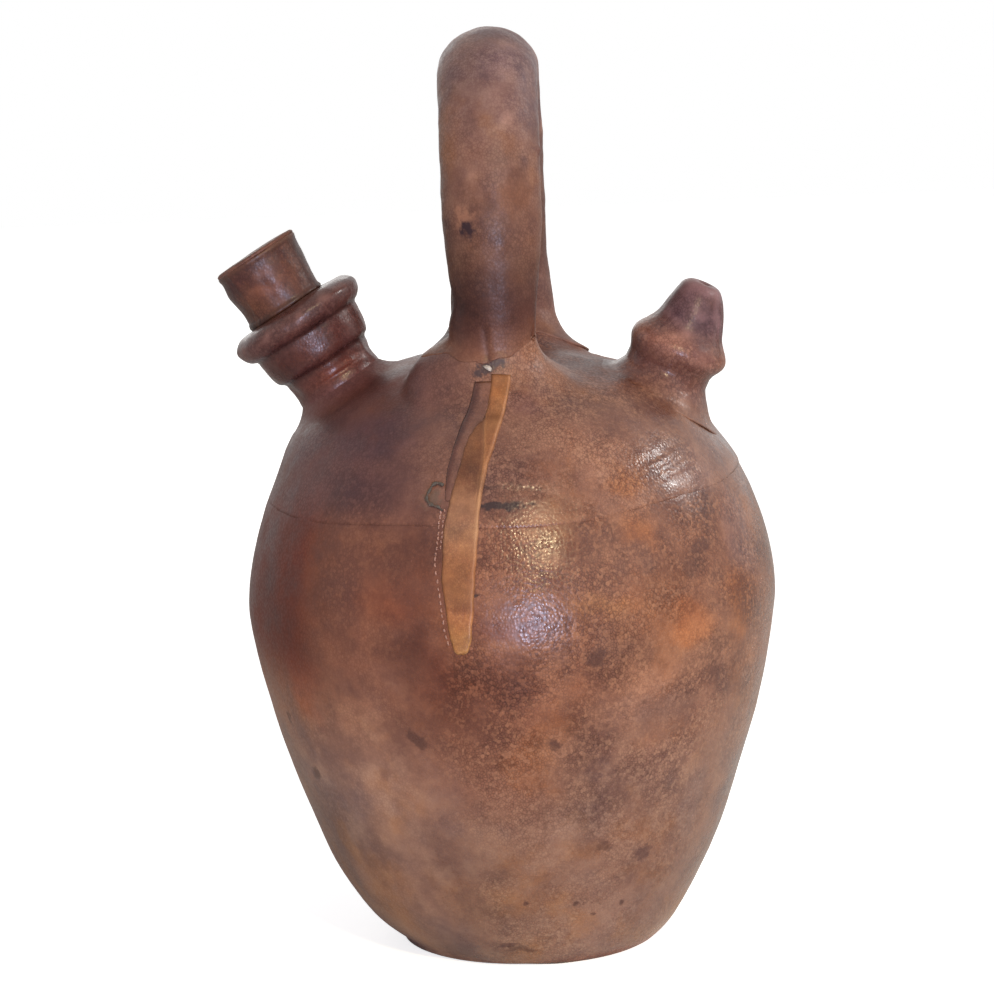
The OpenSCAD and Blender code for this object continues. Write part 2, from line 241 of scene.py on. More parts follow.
def seam_z(phi):
    """Height of the shoulder leather's lower edge."""
    az = np.degrees(wrapped(phi))
    wave = 0.7 * np.sin(3 * np.radians(az) + 0.8) + 0.45 * np.sin(7 * np.radians(az) + 2.1)
    rise = 4.6 * smooth(-72, -34, az) * (1 - smooth(60, 130, az))
    return 171.2 + rise + wave


def hem(phi, d):
    """Height of the overlapping hem, d mm above its edge: it shows left of the strip and on the right."""
    az = np.degrees(wrapped(phi))
    step = 0.03 + 0.24 * bell(az, -112, 13) + 0.45 * bell(az, 6, 14)
    return step * (1 - smooth(1.0, 16, d)) - (0.03 + 0.8 * step) * (1 - smooth(-0.2, 1.8, d))


# Meshes
def outward(verts, faces):
    mesh = bpy.data.meshes.new("tmp")
    mesh.from_pydata(verts.tolist(), [], faces)
    mesh.update()
    n = np.empty(len(verts) * 3)
    mesh.vertices.foreach_get("normal", n)
    bpy.data.meshes.remove(mesh)
    return n.reshape(-1, 3)


def thicken(verts, faces, thickness, normals=None):
    """A closed skin whose outer side is the given sheet."""
    n = outward(verts, faces) if normals is None else normals
    inner = verts - n * np.broadcast_to(thickness, len(verts))[:, None]
    count = len(verts)
    edges = set()
    for f in faces:
        for a, b in zip(f, f[1:] + f[:1]):
            edges.add((a, b))
    rim = [(b, a, a + count, b + count) for a, b in edges if (b, a) not in edges]
    back = [tuple(i + count for i in reversed(f)) for f in faces]
    return np.vstack([verts, inner]), faces + back + sorted(rim)


def grid_faces(rows, cols, wrap=True, closed=False):
    """Faces of a grid of points, wrapped round and with its last row joined to its first where asked."""
    out = []
    for i in range(rows if closed else rows - 1):
        a, b = i * cols, (i + 1) % rows * cols
        for k in range(cols if wrap else cols - 1):
            m = (k + 1) % cols
            out.append((a + k, b + k, b + m, a + m))
    return out


def fan(tip, first, count, back=False):
    """Triangles between a tip and the ring of points that starts at first, seen from behind where asked."""
    pairs = [(first + k, first + (k + 1) % count) for k in range(count)]
    return [(tip, b, a) if back else (tip, a, b) for a, b in pairs]


def flipped(faces):
    return [tuple(reversed(f)) for f in faces]


def make(name, verts, faces, material, body="jar", replaces=(), tint=None, values=None):
    """One piece in the part's frame, from points in mm, with its colours and values per point.

    Values for the outer side only are used for the inner side too."""
    mesh = bpy.data.meshes.new(name)
    mesh.from_pydata((np.asarray(verts, float) * MM).tolist(), [], faces)
    mesh.polygons.foreach_set("use_smooth", [True] * len(mesh.polygons))
    count = len(verts)

    def per_point(value):
        value = np.asarray(value, float)
        if not value.ndim:
            return np.full(count, value)
        return np.concatenate([value, value])[:count] if len(value) < count else value

    colour = np.ones((count, 4))
    if tint is not None:
        colour[:, :3] = per_point(tint)
    attribute = mesh.color_attributes.new(name="tint", type="FLOAT_COLOR", domain="POINT")
    attribute.data.foreach_set("color", colour.ravel())
    for key, value in {"grain": 1.0, "wear": 0.0, "polish": 1.0, **(values or {})}.items():
        mesh.attributes.new(key, "FLOAT", "POINT").data.foreach_set("value", per_point(value))
    mesh.validate()
    mesh.materials.append(material)
    piece = bpy.data.objects.new(name, mesh)
    bpy.context.scene.collection.objects.link(piece)
    if replaces:
        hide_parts(*replaces)
    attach(piece, body)
    return piece


# Places of the mouth, spout and handle
class Neck:
    """The own frame of a mouth or spout, whose points it turns into the part's frame."""

    def __init__(self, out, tilt, height, side):
        a = math.radians(tilt) * side
        self.x_axis = np.array([math.cos(a), 0, -math.sin(a)])
        self.axis = np.array([math.sin(a), 0, math.cos(a)])
        self.height = height
        self.origin = np.array([side * out, 0, float(dome_z(out))]) + height * self.axis

    def __call__(self, x, y, u):
        x, y, u = (np.asarray(v, float)[..., None] for v in np.broadcast_arrays(x, y, u))
        return self.origin + x * self.x_axis + y * np.array([0, 1, 0]) + u * self.axis

    def ring(self, r, angle, u):
        return self(r * np.cos(angle), r * np.sin(angle), u)

    def ring_on_dome(self, r, angle, lift):
        """Points lift mm along the axis above where a tube of radius r meets the dome."""
        x, y = r * np.cos(angle), r * np.sin(angle)
        u = np.full(np.shape(x), -self.height, float)
        for _ in range(40):
            p = self(x, y, u)
            u -= 0.7 * (p[..., 2] - dome_z(np.hypot(p[..., 0], p[..., 1])))
        return self(x, y, u + lift)


on_mouth = Neck(MOUTH_OUT, MOUTH_TILT, MOUTH_H, -1)
on_spout = Neck(SPOUT_OUT, SPOUT_TILT, SPOUT_H, 1)


def arch(t):
    t = np.asarray(t, float)
    u = 1 - np.abs(t)
    s = 1 - u
    top = CROWN_Z + HANDLE_RISE - GRIP_T
    w = [s**3, 3 * s * s * u, 3 * s * u * u, u**3]
    y = sum(a * b for a, b in zip(w, [FOOT_OUT, LEG_OUT, 0.87 * LEG_OUT, 0]))
    z = sum(a * b for a, b in zip(w, [CROWN_Z - 9.5, CROWN_Z + 40, top, top]))
    return np.stack([np.sign(t) * y, z], -1)


def placed(p):
    a = math.radians(HANDLE_TURN)
    x, y = p[..., 0], p[..., 1]
    return np.stack([x * math.cos(a) - y * math.sin(a) + HANDLE_SHIFT,
                     x * math.sin(a) + y * math.cos(a), p[..., 2]], -1)


def handle_ring(t, angles, lift):
    """Ring of the handle's leather at t, angles from the ring's +x side, lift mm proud."""
    c = arch(t)
    v = arch(min(1, t + 0.01)) - arch(max(-1, t - 0.01))
    n = np.array([-v[1], v[0]]) / np.linalg.norm(v)
    leg = FRONT_W if t < 0 else REAR_W
    grow = float(smooth(0.12, 0.42 if t < 0 else 0.28, 1 - abs(t)))
    lift = lift + flank(t, angles, 0.0) * (1 - float(smooth(234, 247, c[1])))
    w = leg + (GRIP_W - leg) * grow + lift
    h = FOOT_T + (GRIP_T - FOOT_T) * grow + lift
    return placed(np.stack([w * np.cos(angles), c[0] + h * np.sin(angles) * n[0],
                            c[1] + h * np.sin(angles) * n[1]], -1))


def foot_ring(t, angles, g, lift):
    rise = np.clip(lift / FLARE, 0, 1)
    y = FOOT_OUT + (arch(LEG_END)[0] - FOOT_OUT) * rise
    leg = FRONT_W if t < 0 else REAR_W
    across, along = (leg + g) * np.cos(angles), t * (y + (FOOT_T + g) * np.sin(angles))
    p = placed(np.stack(np.broadcast_arrays(across, along, 0 * angles), -1))
    p[..., 2] = dome_z(np.hypot(p[..., 0], p[..., 1])) + lift
    return p


def flare_ring(t, angles, turn, d):
    """Ring of a foot's flare where its curve has turned by turn degrees, d mm under its outer face."""
    a = np.radians(turn)
    g = FLARE * (1 - np.cos(a)) + flank(t, angles, turn) - d * np.cos(a)
    lift = 2.0 + FLARE * (1 - np.sin(a)) - d * np.sin(a)
    return foot_ring(t, angles, g, lift)


def flank(t, angles, turn):
    """How far a foot's flare reaches out on the side towards the mouth, in mm."""
    if t < 0:
        reach = LEG_FLANK + 10.5 * smooth(0, 34, turn) - 5.5 * smooth(44, 90, turn)
    else:
        reach = 0.5 * smooth(-6, 56, turn)
    return reach * bell(wrapped(np.asarray(angles, float) - math.radians(185)), 0, 0.85)


# Materials
def srgb(*shares):
    """A colour from its red, green and blue as a screen shows them, 0 to 255."""
    return tuple(((v / 255 + 0.055) / 1.055) ** 2.4 if v > 10 else v / 255 / 12.92 for v in shares) + (1.0,)


class Nodes:
    """Short calls for building a tree of shader nodes."""

    def __init__(self, tree):
        self.tree = tree
        tree.nodes.clear()

    def set(self, socket, value):
        if isinstance(value, bpy.types.NodeSocket):
            self.tree.links.new(value, socket)
        else:
            socket.default_value = value

    def node(self, kind, inputs=(), **settings):
        node = self.tree.nodes.new("ShaderNode" + kind)
        for key, value in settings.items():
            setattr(node, key, value)
        for key, value in dict(inputs).items():
            self.set(node.inputs[key], value)
        return node

    def math(self, operation, a, b=0.0):
        return self.node("Math", {0: a, 1: b}, operation=operation).outputs[0]


class Shader(Nodes):
    """One material, with the textures that the leather, clay, wood and thread share."""

    def __init__(self, name):
        self.material = bpy.data.materials.new(name)
        self.material.use_nodes = True
        super().__init__(self.material.node_tree)
        self.bsdf = self.node("BsdfPrincipled")
        self.node("OutputMaterial", {"Surface": self.bsdf.outputs[0]})
        self.place = self.node("TexCoord").outputs["Object"]

    def surface(self, colour, roughness, normal=None):
        for key, value in (("Base Color", colour), ("Roughness", roughness), ("Normal", normal)):
            if value is not None:
                self.set(self.bsdf.inputs[key], value)

    def noise(self, scale, detail=2.0, rough=0.5, vector=None, out="Fac"):
        return self.node("TexNoise", {"Vector": vector or self.place, "Scale": scale, "Detail": detail,
                                      "Roughness": rough}).outputs[out]

    def wave(self, scale, distortion, detail, vector=None, **settings):
        return self.node("TexWave", {"Vector": vector or self.place, "Scale": scale, "Distortion": distortion,
                                     "Detail": detail}, **settings).outputs["Fac"]

    def cells(self, scale, feature="F1", out="Distance", vector=None, **inputs):
        return self.node("TexVoronoi", {"Vector": vector or self.place, "Scale": scale, **inputs},
                         feature=feature).outputs[out]

    def span(self, value, low, high, out_low=0.0, out_high=1.0, kind="SMOOTHSTEP"):
        return self.node("MapRange", {"Value": value, "From Min": low, "From Max": high, "To Min": out_low,
                                      "To Max": out_high}, interpolation_type=kind).outputs[0]

    def mix(self, factor, a, b, blend="MIX"):
        return self.node("Mix", {0: factor, 6: a, 7: b}, data_type="RGBA", blend_type=blend).outputs[2]

    def attribute(self, name, out="Fac"):
        return self.node("Attribute", attribute_name=name).outputs[out]

    def vector_math(self, operation, *values):
        return self.node("VectorMath", dict(enumerate(values)), operation=operation).outputs

    def stretch(self, x, y, z, vector=None):
        return self.vector_math("MULTIPLY", vector or self.place, (x, y, z))[0]

    def bump(self, height, distance, strength=1.0, normal=None):
        inputs = {"Height": height, "Distance": distance, "Strength": strength}
        if normal is not None:
            inputs["Normal"] = normal
        return self.node("Bump", inputs).outputs[0]


def leather(name, light, base, dark, grain=920.0, relief=0.0001, gloss=0.2, shine=0.25, spots=()):
    """Worn vegetable-tanned leather: pebbled grain, mottled dye, darker creases and rubbed places."""
    s = Shader(name)
    warp = s.noise(45.0, 3.0, out="Color")
    bent = s.vector_math("MULTIPLY_ADD", warp, (0.012, 0.012, 0.012), s.place)[0]
    clouds = s.noise(21.0, 5.0, 0.6, bent)
    hues = s.noise(34.0, 4.0, 0.6)
    blots = s.noise(80.0, 5.0, 0.6)
    flecks = s.noise(420.0, 4.0, 0.65)
    colour = s.mix(s.span(clouds, 0.34, 0.6, 0.15, 1.0), dark, base)
    colour = s.mix(s.span(blots, 0.46, 0.74, 0.0, 0.45), colour, light)
    colour = s.mix(s.span(blots, 0.5, 0.3, 0.0, 0.5), colour, dark)
    colour = s.mix(s.span(flecks, 0.42, 0.2, 0.0, 0.5), colour, dark)
    colour = s.mix(s.span(hues, 0.5, 0.66, 0.0, 0.8), colour, (1.13, 0.99, 0.74, 1.0), "MULTIPLY")
    colour = s.mix(s.span(hues, 0.48, 0.32, 0.0, 0.7), colour, (0.78, 0.84, 1.0, 1.0), "MULTIPLY")

    tall = s.stretch(1.0, 1.0, 0.85)
    pebble = s.cells(grain, "SMOOTH_F1", vector=tall, **{"Smoothness": 0.35, "Randomness": 0.95})
    pebble2 = s.cells(grain * 0.43, "SMOOTH_F1", vector=tall, **{"Smoothness": 0.5})
    strength = s.math("MULTIPLY", s.attribute("grain"),
                      s.span(s.noise(58.0, 3.0, 0.55), 0.36, 0.58, 0.45, 1.0))
    cell_tone = s.node("SeparateColor", {0: s.cells(grain, "F1", "Color", vector=tall)}).outputs[0]
    crease = s.span(s.cells(grain, "DISTANCE_TO_EDGE", vector=tall), 0.2, 0.02, 0.0, 0.85)
    crease = s.math("MULTIPLY", crease, strength)
    colour = s.mix(crease, colour, (0.42, 0.36, 0.36, 1.0), "MULTIPLY")
    bright = s.math("MULTIPLY", s.span(cell_tone, 0.4, 1.0, 0.0, 0.5), strength)
    colour = s.mix(bright, colour, light)

    wear = s.attribute("wear")
    rubbed = s.math("MULTIPLY", wear, s.span(blots, 0.3, 0.6, 0.35, 1.0))
    colour = s.mix(rubbed, colour, tuple(min(1, 1.55 * c) for c in light[:3]) + (1,))
    colour = s.mix(1.0, colour, s.attribute("tint", "Color"), "MULTIPLY")
    uneven_edge = s.math("ADD", flecks, s.noise(210.0, 3.0, 0.6)) if spots else None
    for centre, size, spot_colour, amount in spots:
        away = s.vector_math("SUBTRACT", bent, tuple(c * MM + 0.006 for c in centre))[0]
        away = s.vector_math("LENGTH", s.stretch(*[1 / (v * MM) for v in size], vector=away))["Value"]
        ragged = s.math("ADD", away, s.math("MULTIPLY", s.math("SUBTRACT", uneven_edge, 1.0), 1.5))
        colour = s.mix(s.span(ragged, 1.3, 0.55, 0.0, amount), colour, spot_colour)

    rough_map = s.math("ADD", s.span(blots, 0.3, 0.75, gloss - 0.05, gloss + 0.1),
                       s.span(pebble, 0.2, 0.7, 0.0, 0.1))
    rough_map = s.math("ADD", rough_map, s.span(s.attribute("polish"), 0.0, 1.0, 0.32, 0.0, "LINEAR"))
    s.bsdf.inputs["Specular IOR Level"].default_value = shine

    hills = s.noise(160.0, 3.0, 0.55)
    folds = s.noise(55.0, 3.0, 0.5, s.stretch(1.0, 1.0, 2.1))
    normal = s.bump(folds, 0.0008, 0.25)
    normal = s.bump(hills, 0.0003, 0.25, normal)
    pits = s.math("ADD", s.math("MULTIPLY", pebble, -1.0), s.math("MULTIPLY", pebble2, -0.6))
    height = s.math("MULTIPLY", pits, strength)
    normal = s.bump(height, relief, 1.0, normal)
    s.surface(colour, rough_map, s.bump(flecks, 0.00004, 0.5, normal))
    return s.material


def fired_clay():
    s = Shader("terracotta")
    blots = s.noise(60.0, 5.0)
    grit = s.noise(900.0, 3.0, 0.7)
    colour = s.mix(s.span(blots, 0.35, 0.7), srgb(168, 104, 74), srgb(194, 132, 96))
    colour = s.mix(s.span(grit, 0.62, 0.75, 0.0, 0.6), colour, srgb(120, 74, 54))
    throwing = s.bump(s.wave(90.0, 1.5, 2.0, bands_direction="Z"), 0.0002, 0.5)
    s.surface(colour, s.span(blots, 0.3, 0.7, 0.78, 0.92), s.bump(grit, 0.00012, 0.7, throwing))
    return s.material


def turned_wood():
    s = Shader("turned_wood")
    turned = s.node("Mapping", {"Vector": s.place, "Rotation": (0, math.radians(MOUTH_TILT), 0),
                                "Scale": (1, 1, 0.12)}).outputs[0]
    rings = s.wave(170.0, 3.5, 3.0, turned, wave_type="RINGS", rings_direction="X")
    fibre = s.noise(700.0, 4.0, 0.6, turned)
    colour = s.mix(s.span(rings, 0.1, 0.9), srgb(196, 158, 110), srgb(158, 116, 74))
    colour = s.mix(s.span(fibre, 0.5, 0.8, 0.0, 0.5), colour, srgb(112, 78, 50))
    s.surface(colour, s.span(fibre, 0.3, 0.7, 0.5, 0.7), s.bump(fibre, 0.0001, 0.6))
    return s.material


def waxed_thread(name, colour, light):
    s = Shader(name)
    twist = s.wave(1400.0, 2.0, 1.0, bands_direction="DIAGONAL")
    dirt = s.noise(500.0, 3.0)
    mixed = s.mix(s.span(twist, 0.2, 0.8), colour, light)
    s.surface(s.mix(s.span(dirt, 0.5, 0.75, 0.0, 0.6), mixed, srgb(104, 74, 60)),
              s.span(dirt, 0.3, 0.7, 0.5, 0.75), s.bump(twist, 0.0001, 0.7))
    return s.material


def spot(az, z, width, height, colour, amount):
    """A stain or bare patch of the leather: half width and half height in mm."""
    return tuple(at(az, z)), (width, width, height), srgb(*colour), amount


DARK = (74, 46, 40)
PLUM = (70, 42, 42)
body_spots = [
    spot(-107.1, 96.4, 3.2, 2.4, DARK, 0.75), spot(-75.9, 92.1, 2.6, 2.0, DARK, 0.75),
    spot(-141.6, 77.1, 3.4, 3.0, DARK, 0.6), spot(-147.9, 96.8, 2.2, 3.0, DARK, 0.6),
    spot(-66.1, 125.4, 3.4, 3.2, DARK, 0.7), spot(-38.0, 157.5, 6.0, 2.6, DARK, 0.6),
    spot(-49.3, 98.3, 14.0, 8.0, (110, 78, 66), 0.45), spot(-50.7, 45.9, 4.4, 3.0, PLUM, 0.65),
    spot(-63.0, 51.0, 4.0, 2.2, DARK, 0.55), spot(-83.5, 30.9, 1.6, 1.6, DARK, 0.8),
    spot(-69.6, 27.0, 1.5, 1.5, DARK, 0.8), spot(-64.0, 21.5, 1.3, 1.3, DARK, 0.8),
    spot(-53.8, 25.8, 1.4, 1.4, DARK, 0.8), spot(-92.0, 10.3, 4.5, 1.4, PLUM, 0.6),
    spot(-86.6, 8.1, 5.5, 1.6, DARK, 0.6),
    spot(-91.3, 150.4, 2.2, 0.55, (50, 32, 30), 0.9),
]
shoulder_spots = [
    spot(-85.6, 177.4, 11.0, 1.3, (44, 32, 34), 0.9), spot(-86.0, 184.4, 6.0, 0.8, (60, 40, 36), 0.5),
    spot(-101.6, 182.0, 3.6, 5.0, (92, 78, 66), 0.55),
    # painted shadow: a dark patch in the gap under the front foot's sleeve edge
    ((2.6, -52.4, 223.0), (7.0, 4.0, 2.5), srgb(52, 36, 40), 0.92),
]

BASE = srgb(132, 84, 62)
LIGHT, DARK_BROWN = srgb(158, 108, 80), srgb(96, 58, 46)
PLUM_SHARE, GREY_SHARE = np.array([0.62, 0.65, 0.86]), np.array([0.8, 0.9, 1.18])
body_leather = leather("body_leather_brown", LIGHT, BASE, DARK_BROWN, shine=0.3,
                       spots=body_spots + shoulder_spots)
sleeve_leather = leather("sleeve_leather_brown", LIGHT, BASE, DARK_BROWN, gloss=0.25)
handle_spots = [
    ((-4.6, -50.6, 275.4), (4.6, 4.6, 5.6), srgb(152, 106, 84), 0.55),
    ((-3.4, -51.6, 272.4), (3.6, 4.2, 4.6), srgb(46, 29, 33), 1.0),
]
handle_leather = leather("handle_leather_brown", LIGHT, BASE, DARK_BROWN, gloss=0.4, shine=0.2,
                         spots=handle_spots)
stopper_leather = leather("stopper_leather_brown", srgb(124, 84, 66), srgb(94, 61, 54), srgb(66, 42, 44),
                          grain=900.0, gloss=0.3)
strip_leather = leather("strip_leather_tan", srgb(196, 140, 92), srgb(170, 112, 72), srgb(134, 84, 58),
                        grain=1300.0, relief=0.00012, gloss=0.38)
clay = fired_clay()
wood = turned_wood()
thread = waxed_thread("thread_pink", srgb(152, 108, 94), srgb(194, 150, 132))
cord_green = waxed_thread("thread_grey_green", srgb(54, 48, 44), srgb(88, 78, 68))
chip_white = waxed_thread("clay_chip", srgb(168, 156, 146), srgb(198, 188, 178))

# Leather round the body, and the colours of the whole jar
BODY_COLS, BODY_ROWS, BODY_INNER_ROWS = 330, 122, 14
# how far the body's leather runs up under the shoulder's, and the height at which it turns under the base
OVERLAP, TURN_Z = 5.0, 0.9


def jar_tint(az, z, cloud):
    """Colour factors of the jar's leather, which was wetted, rubbed and faded unevenly, with painted shade on
    the left, painted floor light low down and the dome's top darkened against its reflection.
    """
    far_left = np.where(az > 100, smooth(100, 150, az), 1 - smooth(-139, -121, az))
    left = np.where(az > 100, smooth(100, 150, az), 1 - smooth(-124, -96, az))
    low = 1 - smooth(45, 112, z - 26 * smooth(-82, -52, az) * (1 - smooth(40, 100, az)) + 6 * cloud)
    body = tinted(len(az), 1.0, [
        # partly painted shade: the far left is darker, redder leather, darkened further as it faces away from
        # the lamps
        (far_left * smooth(98, 128, z), 0.43, 0.18, 0.13),
        (left * (1 - far_left) * smooth(100, 124, z), 0.96, 0.92, 0.94),
        # painted light: the lower left is lightened as if lit by the floor
        (left * bell(z, 84, 30), 1.34, 1.6, 1.8),
        # painted light: lighter towards the bottom and just above the base, as if lit by the floor
        (low, 1.06, 1.38, 1.66),
        (1 - smooth(6, 34, z), 1.2, 1.3, 1.3),
        (bell(az, -44, 18) * (1 - smooth(12, 44, z)), 0.8, 0.82, 0.92),
        (bell(az, -97, 13) * bell(z, 114, 15), 0.8, 0.7, 0.7),
        (bell(az, -104, 8) * smooth(120, 132, z), 0.62, 0.54, 0.57),
        (bell(az, -90, 18) * low, 0.9, 0.89, 0.88),
        (smooth(-76, -60, az) * (1 - smooth(60, 100, az)) * smooth(108, 128, z), 0.9, 0.95, 0.96),
        ((1 - smooth(0.4, 4, z)) * bell(az, -45, 40), 0.9, 0.6, 0.56),
    ])
    dome = tinted(len(az), np.array([0.9, 0.9, 0.95]) * shade(bell(az, -100, 16), 0.86, 0.83, 0.88), [
        # partly painted shade: the dome's left is plum leather, darkened further as it faces away from the
        # lamps
        (left, 0.53, 0.53, 0.82),
        (1 - left, 0.99, 1.17, 1.32),
        # painted shade: the dome's top away from the front is darkened to offset the pale reflection of the
        # white surround
        (smooth(36, 62, np.abs(az + 90)) * smooth(205, 214, z), 0.78, 0.62, 0.58),
    ])
    above = smooth(166, 184, z)[:, None]
    return (body * (1 - above) + dome * above) * (1 + 0.08 * cloud[:, None])


def jar_tint_at(points):
    return jar_tint(azimuth(points), points[:, 2], rough(points, 40, 6))


# patches where the dye took differently: azimuth, height, half width and height in mm, shares of the colour
PATCHES = [
    (-55, 183, 9, 5.5, (1.2, 1.02, 0.72)), (-27, 133, 9, 16, (1.18, 0.98, 0.7)),
    (-44, 131, 10, 6, (1.18, 1.0, 0.78)), (-40, 153, 6, 4, (0.66, 0.66, 0.74)),
    (-64, 128, 9, 5, (0.86, 0.86, 0.9)), (-22, 158, 9, 16, (1.1, 1.2, 1.45)),
    (-32, 182, 12, 7, (1.12, 1.2, 1.3)), (-51, 105, 13, 8, (0.84, 0.88, 0.98)),
    (-77, 209, 9, 5, (0.78, 0.74, 0.86)), (-87, 119, 12, 8, (0.72, 0.66, 0.7)),
    (-100, 121, 8, 9, (0.82, 0.7, 0.7)), (-112, 146, 12, 9, (1.12, 0.96, 0.84)),
    (-98, 31, 14, 12, (1.16, 1.16, 1.06)), (-70, 62, 16, 10, (0.88, 0.9, 0.96)),
    (-122, 66, 9, 18, (1.12, 1.08, 1.0)), (-75, 189, 12, 5, (0.84, 0.8, 0.84)),
    (-60, 197, 14, 7, (1.12, 1.12, 1.1)), (-52, 166, 8, 6, (1.2, 1.02, 0.72)),
    (-66, 141, 10, 6, (1.1, 1.08, 0.86)), (-137, 112, 10, 14, (1.06, 0.86, 0.78)),
    (-46, 84, 10, 14, (1.1, 1.08, 1.06)), (-84, 138, 12, 6, (0.8, 0.72, 0.8)),
    (-126, 200, 14, 8, (0.84, 0.84, 1.0)), (-92, 74, 16, 8, (0.92, 0.9, 0.92)),
    (-36, 60, 8, 16, (0.94, 1.02, 1.14)), (-72, 172, 9, 6, (0.9, 0.86, 0.8)),
    (-32, 110, 8, 8, (0.86, 0.84, 0.86)),
]


def patchy(p):
    """Colour factors of the soft patches, their outlines bent by noise."""
    p = np.asarray(p, float)
    bent = p + 7 * np.stack([rough(p, 16, 70), rough(p, 16, 71), rough(p, 12, 72)], -1)
    bent += 2.4 * np.stack([rough(p, 5, 73), rough(p, 5, 74), rough(p, 4, 75)], -1)
    tint = np.ones((len(p), 3))
    for az, z, width, height, share in PATCHES:
        away = (bent - at(az, z)) / (width, width, height)
        tint *= shade(1 - smooth(0.45, 1.5, np.linalg.norm(away, axis=1)), *share)
    return tint


def polish_of(az, z):
    """The left and the top of the jar are duller than the front, which hands have polished."""
    return 0.25 + 0.75 * smooth(-122, -100, az) * (1 - smooth(0, 60, az)) * (1 - 0.8 * smooth(197, 212, z))


def body_relief(p, phi, s):
    """Dents, pulls and creases of the leather round the jar."""
    az = np.degrees(phi)
    z = z_of_s(s)
    d = 0.1 * rough(p, 9, 3) + 0.04 * rough(p * (1, 1, 2.2), 4.2, 4)
    # a crease low on the left of the front, and the fine stretch lines left of the strip
    crease = at(np.array([-104.5, -100.3, -96.5]), np.array([117.0, 117.9, 117.0]))
    far, along = line_distance(p, crease)
    d -= 0.5 * bell(far, 0, 1.5) * smooth(0, 0.2, along) * (1 - smooth(0.8, 1, along))
    front = smooth(-126, -112, az) * (1 - smooth(-101, -96, az))
    front = front * smooth(128, 140, z) * (1 - smooth(160, 168, z))
    d += 0.09 * front * np.sin(2.2 * z + 3 * rough(p, 14, 5))
    return d


def build_body():
    phi = circle(BODY_COLS) - math.pi
    base_s = s_of_z(TURN_Z)
    edge_s = s_of_z(seam_z(phi)) - OVERLAP
    s = edge_s[None, :] + (base_s - edge_s[None, :]) * np.linspace(0, 1, BODY_ROWS)[:, None]
    ph = np.broadcast_to(phi, s.shape)
    above = s_of_z(seam_z(phi))[None, :] - s
    under = -0.1 * np.clip(above, 0, None)
    relief = body_relief(on_jar(ph, s).reshape(-1, 3), ph.ravel(), s.ravel()).reshape(s.shape)
    p = on_jar(ph, s, under + relief * smooth(0, 3, -above))
    # the lower edge turns under onto the base
    rows = list(p)
    rim_r = np.hypot(p[-1, :, 0], p[-1, :, 1])
    for inwards, z in [(0.35, 0.42), (0.95, 0.12), (1.7, 0.02)]:
        r = rim_r - inwards
        rows.append(np.stack([r * np.cos(phi), r * np.sin(phi), np.full(BODY_COLS, z)], -1))
    # inner side, with fewer rows
    for share in np.linspace(1, 0, BODY_INNER_ROWS):
        depth = LEATHER - 0.05 + 0.1 * (share < 0.01)
        rows.append(on_jar(phi, edge_s + (base_s - 3.0 - edge_s) * share, -depth))
    verts = np.vstack(rows)
    faces = grid_faces(len(rows), BODY_COLS, closed=True)
    az, z = azimuth(verts), verts[:, 2]
    low = 1 - smooth(45, 112, z + 6 * rough(verts, 40, 6))
    tint = jar_tint_at(verts) * patchy(verts)
    grain = 0.35 + 0.65 * smooth(-104, -92, az) * (1 - smooth(150, 176, az))
    grain = grain * (1 - 0.35 * low)
    wear = 0.25 * smooth(0.2, 0.7, rough(verts, 30, 7)) * smooth(-100, -80, az) * (1 - smooth(150, 178, az))
    return make("body_wrap", verts, faces, body_leather, replaces=("body_leather",), tint=tint,
                values={"grain": grain, "wear": wear, "polish": polish_of(az, z)})


# Leather over the dome
MOUTH_FILLET, MOUTH_NECK_R = 10.0, 15.2
SPOUT_FILLET, SPOUT_NECK_R = 5.0, 15.0


def mouth_rows(angles):
    """Rings of the leather drawn up the mouth's neck, from the dome upwards."""
    return [on_mouth.ring_on_dome(MOUTH_NECK_R + g, angles, fillet(MOUTH_FILLET, g))
            for g in (10.0, 7.6, 5.6, 4.0, 2.7, 1.7, 0.9, 0.3, 0.0)]


def spout_rows(angles):
    """Rings of the leather that dives under the spout's skirt."""
    return [on_spout.ring_on_dome(SPOUT_NECK_R + g, angles, 0.8 * fillet(SPOUT_FILLET, g) - sink)
            for g, sink in ((6.0, 0.0), (4.0, 0.15), (2.4, 0.3), (1.2, 0.4))]


def sleeve_edge(t, angles):
    """Where the sleeve's edge lies round a foot, in degrees of the flare's turn."""
    deg = np.degrees(angles) % 360
    if t < 0:
        at_deg = [0, 16, 41, 57, 70, 77, 88, 97, 104, 113, 120, 131, 140, 149, 157, 164, 176, 190, 210, 240,
                  270, 300, 330, 360]
        turns = [3, 4, 5, 9, 15, 16, 15, 18, 21, 21, 18, 19, 18, 15, 13, 14, 20, 30, 40, 44, 36, 24, 10, 3]
    else:
        at_deg = [0, 20, 32, 50, 80, 120, 160, 200, 240, 280, 310, 335, 360]
        turns = [80, 82, 74, 50, 38, 35, 38, 40, 42, 40, 52, 74, 80]
    return np.interp(deg, at_deg, turns)


